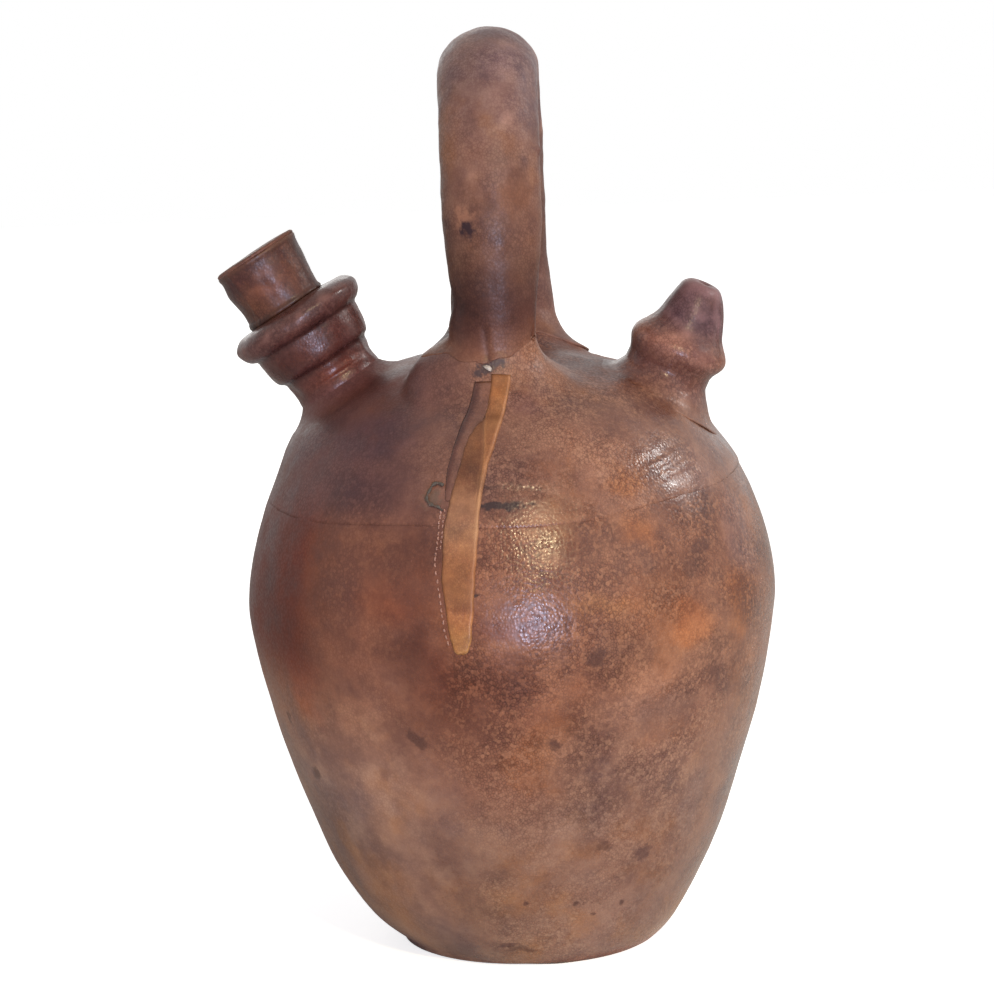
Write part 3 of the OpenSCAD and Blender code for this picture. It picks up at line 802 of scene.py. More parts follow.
def foot_rows(t, angles):
    """Rings of the leather up a foot of the handle (t -1 front, 1 rear), sinking under the sleeve's edge."""
    wide = FLARE + flank(t, angles, 90.0)
    rows = [foot_ring(t, angles, wide + out, lift + 0 * angles) for out, lift in ((5.0, 0.0), (2.4, 0.25))]
    edge = sleeve_edge(t, angles)
    shares = (1, 0.88, 0.76, 0.64, 0.53, 0.42, 0.32, 0.23, 0.15, 0.09, 0.04, 0.01)
    turns = [edge + (90 - edge) * share for share in shares]
    turns += [np.clip(edge - d, 1, None) for d in (1.0, 3.0, 6.0, 10.0)]
    for turn in turns:
        a = np.radians(turn)
        sink = 1.5 * (1 - smooth(-7.0, -0.3, turn - edge)) + 0.02
        g = FLARE * (1 - np.cos(a)) + flank(t, angles, turn) - sink * np.cos(a)
        lift = 1.9 * (1 - smooth(52, 100, turn)) + FLARE * (1 - np.sin(a)) - sink * np.sin(a)
        rows.append(foot_ring(t, angles, g, lift))
    return rows


SHEET_STEP, EDGE_COUNT = 1.75, 400
# rows at the sheet's edge, so that the hem is round: how far inside it, and how far turned in steps
EDGE_ROWS = [(0.0, 0.0), (0.7, 0.5), (1.7, 0.0)]


def opening_rings():
    """Rings of the leather that rises round the mouth, the spout and the handle's feet, outermost first."""
    openings = [mouth_rows(circle(108)), spout_rows(circle(84)), foot_rows(-1, circle(120)[::-1]),
                foot_rows(1, circle(120))]
    for rows in openings:
        # rest the outermost ring on the handmade jar
        x, y = rows[0][:, 0], rows[0][:, 1]
        shift = stand_off(np.arctan2(y, x), s_of_r(np.hypot(x, y)))
        rows[:] = [row + shift * fade for row, fade in zip(rows, np.linspace(1, 0, len(rows)))]
    return openings


def even_field(reach, rings):
    """Places a step apart on the dome's flat map, clear of its edge and of the rings of its openings."""
    n = int(reach / SHEET_STEP) + 2
    j, i = np.mgrid[-int(n / 0.866) - 1 : int(n / 0.866) + 2, -n - 1 : n + 2]
    x = ((i + 0.5 * (j % 2)) * SHEET_STEP).ravel() + 0.13
    y = (j * SHEET_STEP * 0.8660254).ravel() + 0.07
    keep = np.hypot(x, y) < s_of_z(seam_z(np.arctan2(y, x))) - EDGE_ROWS[-1][0] - 0.8 * SHEET_STEP
    for ring in rings:
        centre = ring.mean(0)
        around = ring - centre
        turn = np.arctan2(around[:, 1], around[:, 0])
        order = np.argsort(turn)
        limit = np.interp(np.arctan2(y - centre[1], x - centre[0]), turn[order],
                          np.hypot(around[:, 0], around[:, 1])[order], period=2 * math.pi)
        keep &= np.hypot(x - centre[0], y - centre[1]) > limit + 0.75 * SHEET_STEP
    return np.stack([x[keep], y[keep]], -1)


def shoulder_sheet():
    """Points and faces of the leather over the dome, joined up on a flat map whose radius is s."""
    points, places, edges = [], [], []

    def add(new, on_map, closed=True):
        first, n = len(points), len(new)
        points.extend(new)
        places.extend(Vector(p) for p in on_map.tolist())
        if closed:
            edges.extend((first + k, first + (k + 1) % n) for k in range(n))
        return first

    openings = opening_rings()
    spans, rings = [], []
    for rows in openings:
        r = np.hypot(rows[0][:, 0], rows[0][:, 1])
        rings.append(s_of_r(r)[:, None] * rows[0][:, :2] / r[:, None])
        spans.append((add(rows[0], rings[-1]), len(r)))
    phi = circle(EDGE_COUNT) - math.pi
    s_edge = s_of_z(seam_z(phi))
    for inset, turn in EDGE_ROWS:
        ph = phi + turn * 2 * math.pi / EDGE_COUNT
        s = s_of_z(seam_z(ph)) - inset
        add(on_jar(ph, s), np.stack([s * np.cos(ph), s * np.sin(ph)], -1), closed=inset == 0)
    field = even_field(s_edge.max(), rings)
    add(on_jar(np.arctan2(field[:, 1], field[:, 0]), np.hypot(field[:, 0], field[:, 1])), field, closed=False)

    _, _, triangles, origin, _, _ = delaunay_2d_cdt(places, edges, [], 0, 1e-5)
    flat = np.array([p[:] for p in places])
    back = [o[0] if o else -1 for o in origin]
    faces = []
    for triangle in triangles:
        ids = [back[i] for i in triangle]
        x, y = flat[ids].mean(0)
        beyond = np.hypot(x, y) > np.interp(math.atan2(y, x), phi, s_edge, period=2 * math.pi)
        in_opening = any(all(first <= i < first + m for i in ids) for first, m in spans)
        if min(ids) >= 0 and not beyond and not in_opening:
            faces.append(tuple(ids))
    for (below, m), rows in zip(spans, openings):
        for row in rows[1:]:
            above = len(points)
            points.extend(row)
            faces += [(below + k, below + (k + 1) % m, above + (k + 1) % m, above + k) for k in range(m)]
            below = above
    return np.array(points, float), faces


def build_shoulder():
    verts, faces = shoulder_sheet()
    normal = outward(verts, faces)
    phi_v = np.arctan2(verts[:, 1], verts[:, 0])
    s_v = s_of_r(np.hypot(verts[:, 0], verts[:, 1]))
    d_edge = s_of_z(seam_z(phi_v)) - s_v
    lift = hem(phi_v, d_edge) + shoulder_relief(verts)
    thick = 0.5 + 1.05 * smooth(4, 16, d_edge)
    verts = verts + normal * lift[:, None]
    az = np.degrees(phi_v)
    tint = jar_tint(az, verts[:, 2], rough(verts, 40, 6)) * patchy(verts)
    polish = polish_of(az, verts[:, 2])
    # painted shade: darker along the hem's edge, where the overlapping step casts a shadow
    tint *= 1 - (bell(d_edge, 0.0, 0.9) * 0.1 * (bell(az, -112, 13) + bell(az, 4, 16)))[:, None]
    grain = 0.5 + 0.5 * smooth(-112, -90, az) * (1 - smooth(150, 176, az))
    wear = 0.12 * bell(d_edge, 2.4, 1.6) + 0.2 * smooth(0.25, 0.7, rough(verts, 22, 10))
    verts, faces = thicken(verts, faces, thick)
    return make("shoulder_wrap", verts, faces, body_leather, replaces=("shoulder_leather", "handle_skirts"),
                tint=tint, values={"grain": grain, "wear": wear, "polish": polish})


# creases of the shoulder's leather: places they run through (azimuth, height), depth and width in mm
WRINKLES = [
    ([(-91.5, 189.6), (-86, 188.8), (-80, 188.2), (-75, 188.9)], 0.16, 1.1),
    ([(-88.5, 184.6), (-84, 183.6), (-78, 182.6), (-72, 182.0)], 0.2, 1.0),
    ([(-73.5, 193.5), (-68, 192.0), (-62, 191.8)], 0.12, 1.2),
    ([(-17.9, 176.5), (-18.1, 171), (-16.2, 166.7)], 0.3, 1.2),
    ([(-50, 187.0), (-41, 189.0), (-28, 192.5)], 0.3, 1.3),
    ([(-48, 183.0), (-38, 185.4), (-27, 188.6)], 0.26, 1.3),
    ([(-44, 179.6), (-34, 181.6), (-24, 184.6)], 0.2, 1.3),
]


def shoulder_relief(p):
    """Dents and creases of the leather on the dome."""
    d = 0.12 * rough(p, 11, 11) + 0.04 * rough(p, 4.5, 12)
    for places, depth, width in WRINKLES:
        az, z = np.array(places, float).T
        far, along = line_distance(p, at(az, z))
        ends = smooth(0, 0.25, along) * (1 - smooth(0.75, 1, along))
        d += ends * depth * (0.55 * bell(far, 1.9 * width, width) - bell(far, 0, width))
    return d


# Sleeves turned round an axis
INNER_STEP = 3


def turned_skin(line, place, cols, relief, thickness):
    """Closed skin from a line of (radius, height) rows that runs from the top edge down and outwards."""
    a = circle(cols)
    line = np.asarray(line, float)
    tangent = np.gradient(line, axis=0)
    tangent /= np.linalg.norm(tangent, axis=1)[:, None]
    nr, nu = -tangent[:, 1], tangent[:, 0]
    rows = len(line)
    r = np.repeat(line[:, :1], cols, 1)
    u = np.repeat(line[:, 1:], cols, 1)
    aa = np.repeat(a[None, :], rows, 0)
    raw = place.ring(r, aa, u)
    d = relief(raw.reshape(-1, 3), aa.ravel(), np.repeat(line[:, 1], cols), np.repeat(line[:, 0], cols))
    d = d.reshape(rows, cols)
    rings = list(place.ring(r + nr[:, None] * d, aa, u + nu[:, None] * d))
    # inner side, with fewer rows, moved in where the outer side dips
    pick = sorted({*range(0, rows, INNER_STEP), rows - 1}, reverse=True)
    t = np.broadcast_to(thickness, rows)
    for i in pick:
        dip = np.minimum(d[i], 0)
        r_in, u_in = line[i, 0] - nr[i] * t[i], line[i, 1] - nu[i] * t[i]
        rings.append(place.ring(r_in + nr[i] * dip, a, u_in + nu[i] * dip))
    faces = flipped(grid_faces(len(rings), cols, closed=True))
    tall = np.concatenate([np.repeat(line[:, 1], cols), np.repeat(line[pick, 1], cols)])
    return np.vstack(rings), faces, np.tile(a, len(rings)), tall


def build_mouth():
    line = spline([(12.9, 3.2), (13.4, 4.1), (14.6, 4.3), (18, 3.9), (21.5, 3.4), (24, 1.9), (25.3, 0),
                   (25.2, -1.8), (24.6, -3.7), (23.1, -5.6), (21.7, -7.4), (21.2, -9.4), (20.9, -12.2),
                   (20.3, -15.6), (19.3, -18.2), (17.5, -20.6), (16.5, -23.4), (16.5, -26.2), (16.8, -28.2),
                   (16.9, -29.6), (16.6, -31)])
    line = evenly(line, 0.75)

    def relief(p, a, u, r):
        deg = np.degrees(a) % 360
        d = 0.28 * rough(p, 8, 20) + 0.14 * rough(p, 3.4, 21)
        d -= 0.6 * bell(u, -6.9, 1.0) * (r < 23.5)
        d -= 0.7 * bell(u, -19.8, 1.2)
        # pleats drawn into the neck, and a fold across its front
        pleat = np.sin(8 * a + 1.3 * np.sin(2 * a) + 0.3 * u)
        d += 0.22 * pleat * bell(u, -23.5, 4)
        fold = u + 26.2 - 0.5 * np.sin(1.5 * a)
        middle = smooth(225, 250, deg) * (1 - smooth(310, 335, deg))
        d += (0.3 * bell(fold, 1.3, 0.9) - 0.55 * bell(fold, 0, 0.6)) * middle
        d += (0.9 * leftward(a) + 0.6 * rightward(a)) * bell(u, -0.5, 5)
        lip = smooth(-2.5, 0.5, u) * (1 - smooth(3.0, 3.9, u))
        d += 0.22 * np.sin(6 * a + 0.7) * lip
        d += 0.1 * smooth(180, 230, deg) * (1 - smooth(320, 352, deg))
        return d * smooth(12.9, 15.5, r)

    t = np.full(len(line), 1.45)
    t[-8:] = np.linspace(1.4, 0.7, 8)
    verts, faces, angle, tall = turned_skin(line, on_mouth, 180, relief, t)
    deg = np.degrees(angle) % 360
    tint = tinted(len(verts), PLUM_SHARE * np.array([0.72, 0.66, 0.76]), [
        # painted sheen: the lip is lighter and greyer, as where it catches the light
        (bell(tall, 0.6, 2.6), 1.02, 1.2, 1.22),
        # partly painted highlight: the front of the neck is tinted orange where it catches the warm light
        (bell(tall, -24.5, 4.5) * bell(deg, 285, 40), 1.4, 0.98, 0.72),
    ])
    fade = smooth(-24.5, -29.5, tall)[:, None]
    tint = tint * (1 - fade) + jar_tint_at(verts) * fade
    # painted shade in the groove under the flange and in the groove below the bulge
    tint *= shade(np.clip(bell(tall, -6.6, 1.3) + bell(tall, -19.8, 1.5), 0, 1), 0.55, 0.52, 0.55)
    tint *= shade(bell(tall, -13, 4.0), 0.94, 0.76, 0.7)
    tint *= 1 + 0.16 * rough(verts, 12, 22)[:, None]
    wear = 0.45 * bell(tall, 0.2, 1.6) * smooth(-0.1, 0.6, rough(verts, 5, 23))
    wear += 0.15 * bell(tall, -29.4, 0.6)
    make("mouth_sleeve_leather", verts, faces, sleeve_leather, replaces=("mouth_sleeve",), tint=tint,
         values={"grain": 0.7, "wear": wear, "polish": 0.95})


def build_spout():
    upper = spline([(2.9, 23), (3.3, 23.75), (4.4, 23.8), (5.5, 23.5), (6.9, 22.2), (8.2, 20), (9, 18),
                    (10.3, 14.3), (11.3, 10.9), (12.5, 7.7), (14.3, 5.0), (16.3, 2.3), (17.1, 0.3),
                    (16.9, -1.7), (15.9, -4.2), (15.0, -6.6)])
    upper = evenly(upper, 0.75)
    cols = 170
    a = circle(cols)
    left, right = leftward(a), rightward(a)
    # below the neck the skirt lies on the dome
    reach = 26.2 + 1.0 * np.sin(2 * a + 0.4) + 0.5 * np.sin(5 * a + 1.0)
    share = np.linspace(0, 1, 22)[1:]
    u = upper[:, 1:] * np.ones(cols)
    # the nozzle is drawn straighter on the left, the neck leaner on the right
    r = upper[:, :1] - 0.8 * left * bell(u, 10, 8) + 0.5 * left * bell(u, 22.6, 1.4)
    r = r - 1.2 * right * smooth(0.5, -5, u) - 0.8 * right * bell(u, 22, 6)
    rows = list(on_spout.ring(r, a, u))
    edge_lift = 0.85 * bell(np.degrees(wrapped(a - math.radians(-38))), 0, 36) - 0.45
    for k in share:
        r = 14.8 + (reach - 14.8) * k**1.15
        h = fillet(10.5 - 4.5 * left, r - 14.75)
        p = on_spout.ring_on_dome(r - 1.2 * right * (1 - smooth(0.1, 0.75, k)), a, h * 0.86)
        phi = np.arctan2(p[:, 1], p[:, 0])
        s = s_of_r(np.hypot(p[:, 0], p[:, 1]))
        thick = 1.1 * (1 - k) + edge_lift * k - 0.15 * smooth(0.93, 1.0, k)
        rows.append(p + stand_off(phi, s, thick) * smooth(0.05, 0.5, k))
    tall = np.concatenate([np.repeat(upper[:, 1], cols), np.repeat(-8 - 14 * share, cols)])
    angle = np.tile(a, len(rows))
    verts = np.vstack(rows)
    faces = flipped(grid_faces(len(rows), cols))
    normal = outward(verts, faces)
    d = 0.14 * rough(verts, 9, 30) + 0.06 * rough(verts, 3.2, 31)
    # fine lengthwise creases where the leather is drawn over the nozzle
    pull = np.sin(17 * angle + 1.8 * np.sin(3 * angle) + 0.05 * tall) * np.clip(np.sin(2 * angle + 2.2), 0, 1)
    d += 0.2 * pull * bell(tall, 11, 7)
    d -= 0.2 * bell(tall, -7.0, 2.2)
    d *= smooth(24.1, 22.5, tall) * smooth(-22.5, -19, tall)
    verts = verts + normal * d[:, None]
    thick = np.where(tall > -8, 1.4, 1.4 - 1.2 * smooth(-9, -18, tall))
    tint = tinted(len(verts), GREY_SHARE, [
        (smooth(2, 12, tall), 0.58, 0.62, 0.92),
        # painted highlight along the collar's crest
        (bell(tall, 1, 3), 1.4, 1.4, 1.4),
        # painted shade in the groove under the collar
        (bell(tall, -7.0, 2.4), 0.8, 0.74, 0.76),
    ])
    fade = smooth(-9, -18, tall)[:, None]
    tint = tint * (1 - fade) + jar_tint_at(verts) * fade
    tint *= 1 + 0.15 * rough(verts, 11, 32)[:, None]
    wear = 0.5 * smooth(20, 23.5, tall) + 0.35 * smooth(0.1, 0.6, rough(verts, 6, 33)) * smooth(-8, 4, tall)
    verts, faces = thicken(verts, faces, thick)
    make("spout_sleeve_leather", verts, faces, sleeve_leather, replaces=("spout_sleeve",), tint=tint,
         values={"grain": 0.75, "wear": wear, "polish": 0.95})


# Handle
def build_handle():
    cols = 120
    k = circle(cols)
    deg = np.degrees(k)

    def foot(t):
        """Rings of the foot's flare from its edge to the leg, each with its place along the ring."""
        shows = bell(deg, 112, 46) if t < 0 else bell(degrees_from(0, deg), 28, 34)
        for share in np.linspace(1, 0, 17)[:-1]:
            proud = (0.55 * shows - 0.02) * smooth(0.3, 0.9, share) - 0.2 * smooth(0.93, 1.0, share)
            yield flare_ring(t, k, sleeve_edge(t, k) * share, -proud), t * (1 + share)

    legs = [(handle_ring(float(t), k, 0.0), float(t) / LEG_END) for t in np.linspace(-LEG_END, LEG_END, 250)]
    rings, at_t = zip(*foot(-1), *legs, *list(foot(1))[::-1])
    verts = np.vstack(rings)
    faces = grid_faces(len(rings), cols)
    normal = outward(verts, faces)
    angle = np.tile(k, len(rings))
    tt = np.repeat(at_t, cols)
    d = 0.38 * rough(verts, 17, 40) + 0.25 * rough(verts, 7, 41) + 0.1 * rough(verts, 3.2, 42)
    # the long seam along the inside of the ring
    off_seam = (angle - 1.5 * math.pi) * 14
    d += 0.3 * bell(np.abs(off_seam), 3.0, 1.3) - 0.7 * bell(off_seam, 0, 1.6)
    d *= 1 - smooth(1.75, 2.0, np.abs(tt))
    fuller = 0.55 * smooth(260, 300, verts[:, 2]) + 0.9 * leftward(angle) * bell(verts[:, 2], 250, 18)
    # a small nub on the right of the front leg, the groove over the foot and the torn place beside it
    nub = handle_ring(-0.425, np.radians([12.0]), 0.0)[0]
    fuller = fuller + 0.9 * bell(np.linalg.norm(verts - nub, axis=1), 0, 1.6)
    groove = line_distance(verts, [(0.6, -51.0, 236.0), (1.2, -51.6, 228.0), (1.6, -52.0, 225.0)])[0]
    tear = line_distance(verts, [(14.2, -44.6, 235.0), (16.0, -43.0, 232.6), (17.2, -41.0, 231.0)])[0]
    d = d - 0.55 * bell(groove, 0, 1.3) - 0.9 * bell(tear, 0, 0.8)
    verts = verts + normal * (d + fuller * (1 - smooth(1.1, 1.6, np.abs(tt))))[:, None]
    z = verts[:, 2]
    # painted shadow: the shares dip to a dark band low on the legs, about 236 to 252 mm high, where shade
    # falls between them and the dome
    height = [222, 228, 236, 243, 252, 262, 280, 300, 332]
    ragged = z + 3 * rough(verts, 9, 45)
    tint = np.stack([np.interp(ragged, height, share) for share in (
        [0.7, 0.72, 0.42, 0.27, 0.36, 0.52, 0.72, 0.83, 0.92],
        [0.8, 0.78, 0.4, 0.23, 0.36, 0.58, 0.84, 1.04, 1.36],
        [0.92, 0.9, 0.5, 0.3, 0.46, 0.7, 1.04, 1.38, 2.2])], -1)
    behind = smooth(-6, 6, verts[:, 1])[:, None] * (1 - smooth(240, 262, z))[:, None]
    tint = tint * (1 - behind) + behind * np.array([0.7, 0.86, 1.2])
    tint *= 1 + 0.16 * rough(verts, 13, 43)[:, None]
    # painted shade in the groove over the foot, and the dark torn edge beside it
    tint *= shade(bell(groove, 0, 1.0) + bell(tear, 0, 0.9), 0.55, 0.5, 0.55)
    tint *= shade(bell(rough(verts, 7, 46), 0.5, 0.2) * (z > 262), 0.8, 0.78, 0.84)
    wear = 0.4 * smooth(0.15, 0.6, rough(verts, 9, 44)) * bell(z, 300, 26)
    wear = wear + 0.25 * smooth(1.93, 1.98, np.abs(tt))
    verts, faces = thicken(verts, faces, 1.45 - 0.5 * smooth(1.6, 2, np.abs(tt)))
    make("handle_sleeve_leather", verts, faces, handle_leather, replaces=("handle_sleeve",), tint=tint,
         values={"grain": 0.55, "wear": wear})


# Front strip
def surface_of(*pieces):
    """The outer surface of finished pieces, to lay other pieces on."""
    verts, faces = [], []
    for piece in pieces:
        start = len(verts)
        verts += [v.co.copy() for v in piece.data.vertices]
        faces += [[start + i for i in p.vertices] for p in piece.data.polygons]
    return BVHTree.FromPolygons(verts, faces)


def strip_edges(z):
    """Left and right edges of the strip, degrees of azimuth, at heights z."""
    left = np.interp(z, [128.6, 129.6, 133.9, 144.4, 154.6, 164.6, 172.5, 177.7, 184.2, 190.6, 196.8,
                         200.5, 203.4, 205.2, 207.5, 209.8, 212.6, 214.8],
                        [-95.6, -96.1, -96.7, -97.6, -98.5, -98.5, -98.4, -97.8, -96.9, -96.0, -95.0,
                         -94.0, -92.4, -90.4, -89.3, -88.6, -87.6, -87.0])
    right = np.interp(z, [128.6, 129.6, 133.8, 144.3, 154.5, 164.4, 177.5, 187.2, 191.6, 196.6, 201.4,
                          206.0, 209.3, 212.6, 214.8],
                         [-93.8, -93.1, -92.4, -91.7, -91.3, -90.8, -90.2, -89.0, -88.3, -86.9, -85.4,
                          -83.8, -82.3, -80.4, -79.8])
    # cut by hand, so neither edge is quite true
    return left + 0.07 * np.sin(0.4 * z) + 0.05 * np.sin(1.9 * z + 1), right + 0.06 * np.sin(0.7 * z + 2)


def strip_fold(z):
    """Left edge of the folded upper layer of the strip."""
    return np.interp(z, [171, 180.8, 187.2, 191.7, 196.7, 202.8, 207.5, 213.0],
                     [-90.9, -90.8, -90.2, -89.6, -89.3, -89.6, -89.3, -88.0])


PROBE_LIFT = 26.0


def lay_lift(phi, s):
    """Height above the plain jar of the leather at angle phi and distance s from the crown."""
    phi, s = np.broadcast_arrays(np.asarray(phi, float), np.asarray(s, float))
    start = on_jar(phi, s, PROBE_LIFT).reshape(-1, 3)
    down = on_jar(phi, s, PROBE_LIFT - 1).reshape(-1, 3) - start
    found = [skin.ray_cast(Vector(a * MM), Vector(b), 2 * PROBE_LIFT * MM)[3] for a, b in zip(start, down)]
    return np.array([0.0 if far is None else PROBE_LIFT - far / MM for far in found]).reshape(phi.shape)


def soften(grid, times=3):
    """The same heights without small steps, as leather bridges them."""
    for _ in range(times):
        padded = np.pad(grid, 1, mode="edge")
        grid = (padded[1:-1, :-2] + padded[1:-1, 2:] + padded[:-2, 1:-1] + padded[2:, 1:-1] + 2 * grid) / 6
    return grid


def build_strip(name, z_low, z_high, left_of, right_of, height, cols, material, tint_of, replaces=()):
    s = np.linspace(float(s_of_z(z_high)), float(s_of_z(z_low)), int((s_of_z(z_low) - s_of_z(z_high)) / 0.9))
    z = z_of_s(s)
    left, right = left_of(z), right_of(z)
    c = np.linspace(0, 1, cols)
    az = left[:, None] + (right - left)[:, None] * c[None, :]
    ss = np.repeat(s[:, None], cols, 1)
    phi = np.radians(az)
    width = np.radians(right - left) * np.interp(s, JAR_S, jar_line[:, 0])
    # distance from the nearest edge, for the rounded rim
    off = np.minimum(c[None, :] * width[:, None], (1 - c)[None, :] * width[:, None])
    ends = np.minimum(s - s[0], s[-1] - s)[:, None]
    off = np.minimum(off, ends)
    ground = lay_lift(phi, ss)
    ground = np.maximum(soften(ground, 5), ground + 0.05)
    lift = ground + height(c[None, :], z[:, None], off)
    p = on_jar(phi, ss, lift)
    flat = p.reshape(-1, 3)
    lift = lift + 0.1 * rough(flat, 5, 50).reshape(lift.shape) * smooth(0, 1.5, off)
    verts = on_jar(phi, ss, lift).reshape(-1, 3)
    faces = grid_faces(len(s), cols, wrap=False)
    under = on_jar(phi, ss, ground - 0.02).reshape(-1, 3)
    thick = np.maximum(np.linalg.norm(verts - under, axis=1), 0.12)
    jar_n = on_jar(phi, ss, 1.0).reshape(-1, 3) - on_jar(phi, ss, 0.0).reshape(-1, 3)
    verts, faces = thicken(verts, faces, thick, jar_n)
    tint, wear = tint_of(np.repeat(z, cols), np.tile(c, len(s)), flat)
    make(name, verts, faces, material, replaces=replaces, tint=tint,
         values={"grain": 0.45, "wear": wear})


def rim_round(off):
    """Share of a layer's thickness at a distance from its edge, which is rounded over 1 mm."""
    return np.sqrt(np.clip(1 - (1 - np.clip(off, 0, 1)) ** 2, 0, 1)) * 0.75 + 0.25


def build_strips():
    def folded(c, z):
        """1 on the folded upper layer, which lies along the right edge and makes the whole top."""
        left, right = strip_edges(z)
        az = left + (right - left) * c
        return smooth(-0.25, 0.25, az - strip_fold(z)) * smooth(166, 176, z)

    def height(c, z, off):
        return 0.8 * rim_round(off) + 0.4 * folded(c, z) * smooth(0, 0.9, off)

    def tint_of(z, c, p):
        up = folded(c, z)
        tint = tinted(len(z), 1.0, [
            (up, 0.6, 0.6, 0.62),
            (up * (1 - smooth(180, 192, z)), 1.2, 1.35, 1.5),
            ((1 - up) * smooth(160, 176, z), 0.84, 0.85, 0.95),
            ((1 - up) * smooth(178, 190, z), 0.5, 0.42, 0.4),
            (bell(z, 152, 11), 0.6, 0.58, 0.56),
            (smooth(158, 172, z) * (1 - up), 0.94, 1.06, 1.16),
            (1 - smooth(132, 143, z), 0.92, 1.04, 0.92),
            (bell(z, 144.5, 1.2) + bell(z, 206, 1.0), 0.8, 0.74, 0.7),
        ])
        tint *= 1 + 0.24 * rough(p, 6, 51)[:, None] + 0.16 * rough(p, 2.4, 52)[:, None]
        left, right = strip_edges(z)
        step = np.abs(left + (right - left) * c - strip_fold(z))
        wear = 0.3 * bell(c, 0.95, 0.05) + 0.35 * bell(step, 0.3, 0.25) * smooth(176, 184, z)
        return tint, wear

    build_strip("front_strip_tan", STRIP_LOW_Z, STRIP_HIGH_Z, lambda z: strip_edges(z)[0],
                lambda z: strip_edges(z)[1], height, 23, strip_leather, tint_of,
                replaces=("front_strip",))

    # under it a fold of the shoulder's own leather runs up to the foot, with a dark line along its left edge
    def fold_left(z):
        return np.interp(z, [180.0, 184, 190.6, 198, 205.5, 212.6],
                         [-98.4, -98.8, -98.9, -98.0, -96.6, -93.8])

    def fold_tint(z, c, p):
        az = azimuth(p)
        tint = jar_tint(az, z, rough(p, 40, 6)) * (1 + 0.2 * rough(p, 4, 53)[:, None])
        return tint * shade((1 - smooth(0.16, 0.5, c)) * smooth(180, 188, z), 0.5, 0.42, 0.46), 0.0 * z

    build_strip("strip_under_layer", 180.5, 212.6, fold_left, lambda z: strip_edges(z)[0] + 1.2,
                lambda c, z, off: 0.3 * rim_round(off), 12, body_leather, fold_tint)


# Stopper
def build_stopper():
    low, high = RIM_H + SEAT_GAP, RIM_H + STOPPER_H
    line = spline([(12.6, low + 0.1), (13.5, low), (14.0, low + 0.5), (13.9, low + 1.6), (13.75, low + 2.6),
                   (14.2, low + 7), (14.9, low + 13), (15.5, high - 5), (15.9, high - 2.4),
                   (16.0, high - 1.36), (15.8, high - 1.3), (14.5, high - 1.3)])
    line = evenly(line, 0.7)[::-1]

    def relief(p, a, u, r):
        d = 0.25 * rough(p, 7, 60) + 0.12 * rough(p, 3, 61)
        # the leather is wrapped round, and its outer edge shows as a fold down the left
        turn = (np.degrees(a) - 236) % 360
        d += 0.5 * (1 - smooth(0, 3.2, turn)) * smooth(-0.1, 0.1, turn)
        d += 0.35 * bell(turn, 357, 4)
        d += 0.25 * bell(u, high - 2.2, 0.9)
        d += 0.3 * bell(u, low + 1.0, 0.8)
        swell = 0.9 + 1.2 * (1 - smooth(high - 10, high - 2, u)) + 0.8 * (1 - smooth(low + 1, low + 9, u))
        return d + leftward(a) * swell

    verts, faces, angle, tall = turned_skin(line, on_mouth, 130, relief, 1.35)
    deg = np.degrees(angle)
    tint = np.ones((len(verts), 3)) * np.array([0.72, 0.68, 0.68])
    lit_side = bell(degrees_from(275, deg), 0, 42)
    mid = bell(tall, low + 11, 8.5)
    # painted light: the middle of the side facing the lamps is lighter and warmer
    tint *= shade(lit_side * mid, 1.3, 1.14, 1.0)
    edge = bell(tall, high - 1.8, 1.4) + bell(tall, low + 0.9, 1.2)
    tint *= shade(np.clip(edge + 0.8 * rough(verts, 4, 66), 0, 1), 0.66, 0.7, 0.68)
    plum = bell(tall, high - 5, 5) * bell(degrees_from(230, deg), 0, 40)
    tint *= 1 - plum[:, None] * np.array([0.26, 0.34, 0.22])
    tint *= 1 + 0.18 * rough(verts, 9, 62)[:, None]
    # worn top rim, and rubbed patches on the side facing the lamps, which add to its painted light
    wear = 0.5 * bell(tall, high - 1.7, 0.9) + 0.4 * lit_side * mid * smooth(-0.2, 0.5, rough(verts, 5, 63))
    make("stopper_wrap", verts, faces, stopper_leather, body="stopper",
         replaces=("stopper_leather",), tint=tint, values={"grain": 0.7, "wear": wear, "polish": 0.9})
    # the disc on top, a little crowned, its rim trimmed by hand
    cols, rings = 130, 22
    a = circle(cols)
    outer_r = STOPPER_TOP_R + 0.1 + 0.8 * leftward(a) + 0.1 * np.sin(3 * a + 0.6)
    shares = np.linspace(0.02, 1, rings)
    crown = high - 0.05 + 0.55 * (1 - shares**2) - 0.55 * smooth(0.95, 1.0, shares)
    rows = [on_mouth.ring(outer_r * share, a, u) for share, u in zip(shares, crown)]
    turned_under = ((outer_r + 0.02, 1.3), (outer_r - 0.4, 1.35), (0.3, 1.4))
    rows += [on_mouth.ring(r, a, high - drop) for r, drop in turned_under]
    verts = np.vstack(rows + [on_mouth(0.0, 0.0, high + 0.5)[None], on_mouth(0.0, 0.0, high - 1.4)[None]])
    tip, last = len(verts) - 2, (len(rows) - 1) * cols
    faces = grid_faces(len(rows), cols) + fan(tip, 0, cols) + fan(tip + 1, last, cols, back=True)
    dents = 0.22 * rough(verts, 7, 64) * (np.arange(len(verts)) < (rings - 1) * cols)
    verts = verts + on_mouth.axis * dents[:, None]
    tint = np.ones((len(verts), 3)) * (1 + 0.15 * rough(verts, 8, 65)[:, None])
    make("stopper_cap", verts, faces, stopper_leather, body="stopper",
         replaces=("stopper_top",), tint=tint, values={"grain": 0.8, "wear": 0.15, "polish": 0.5})


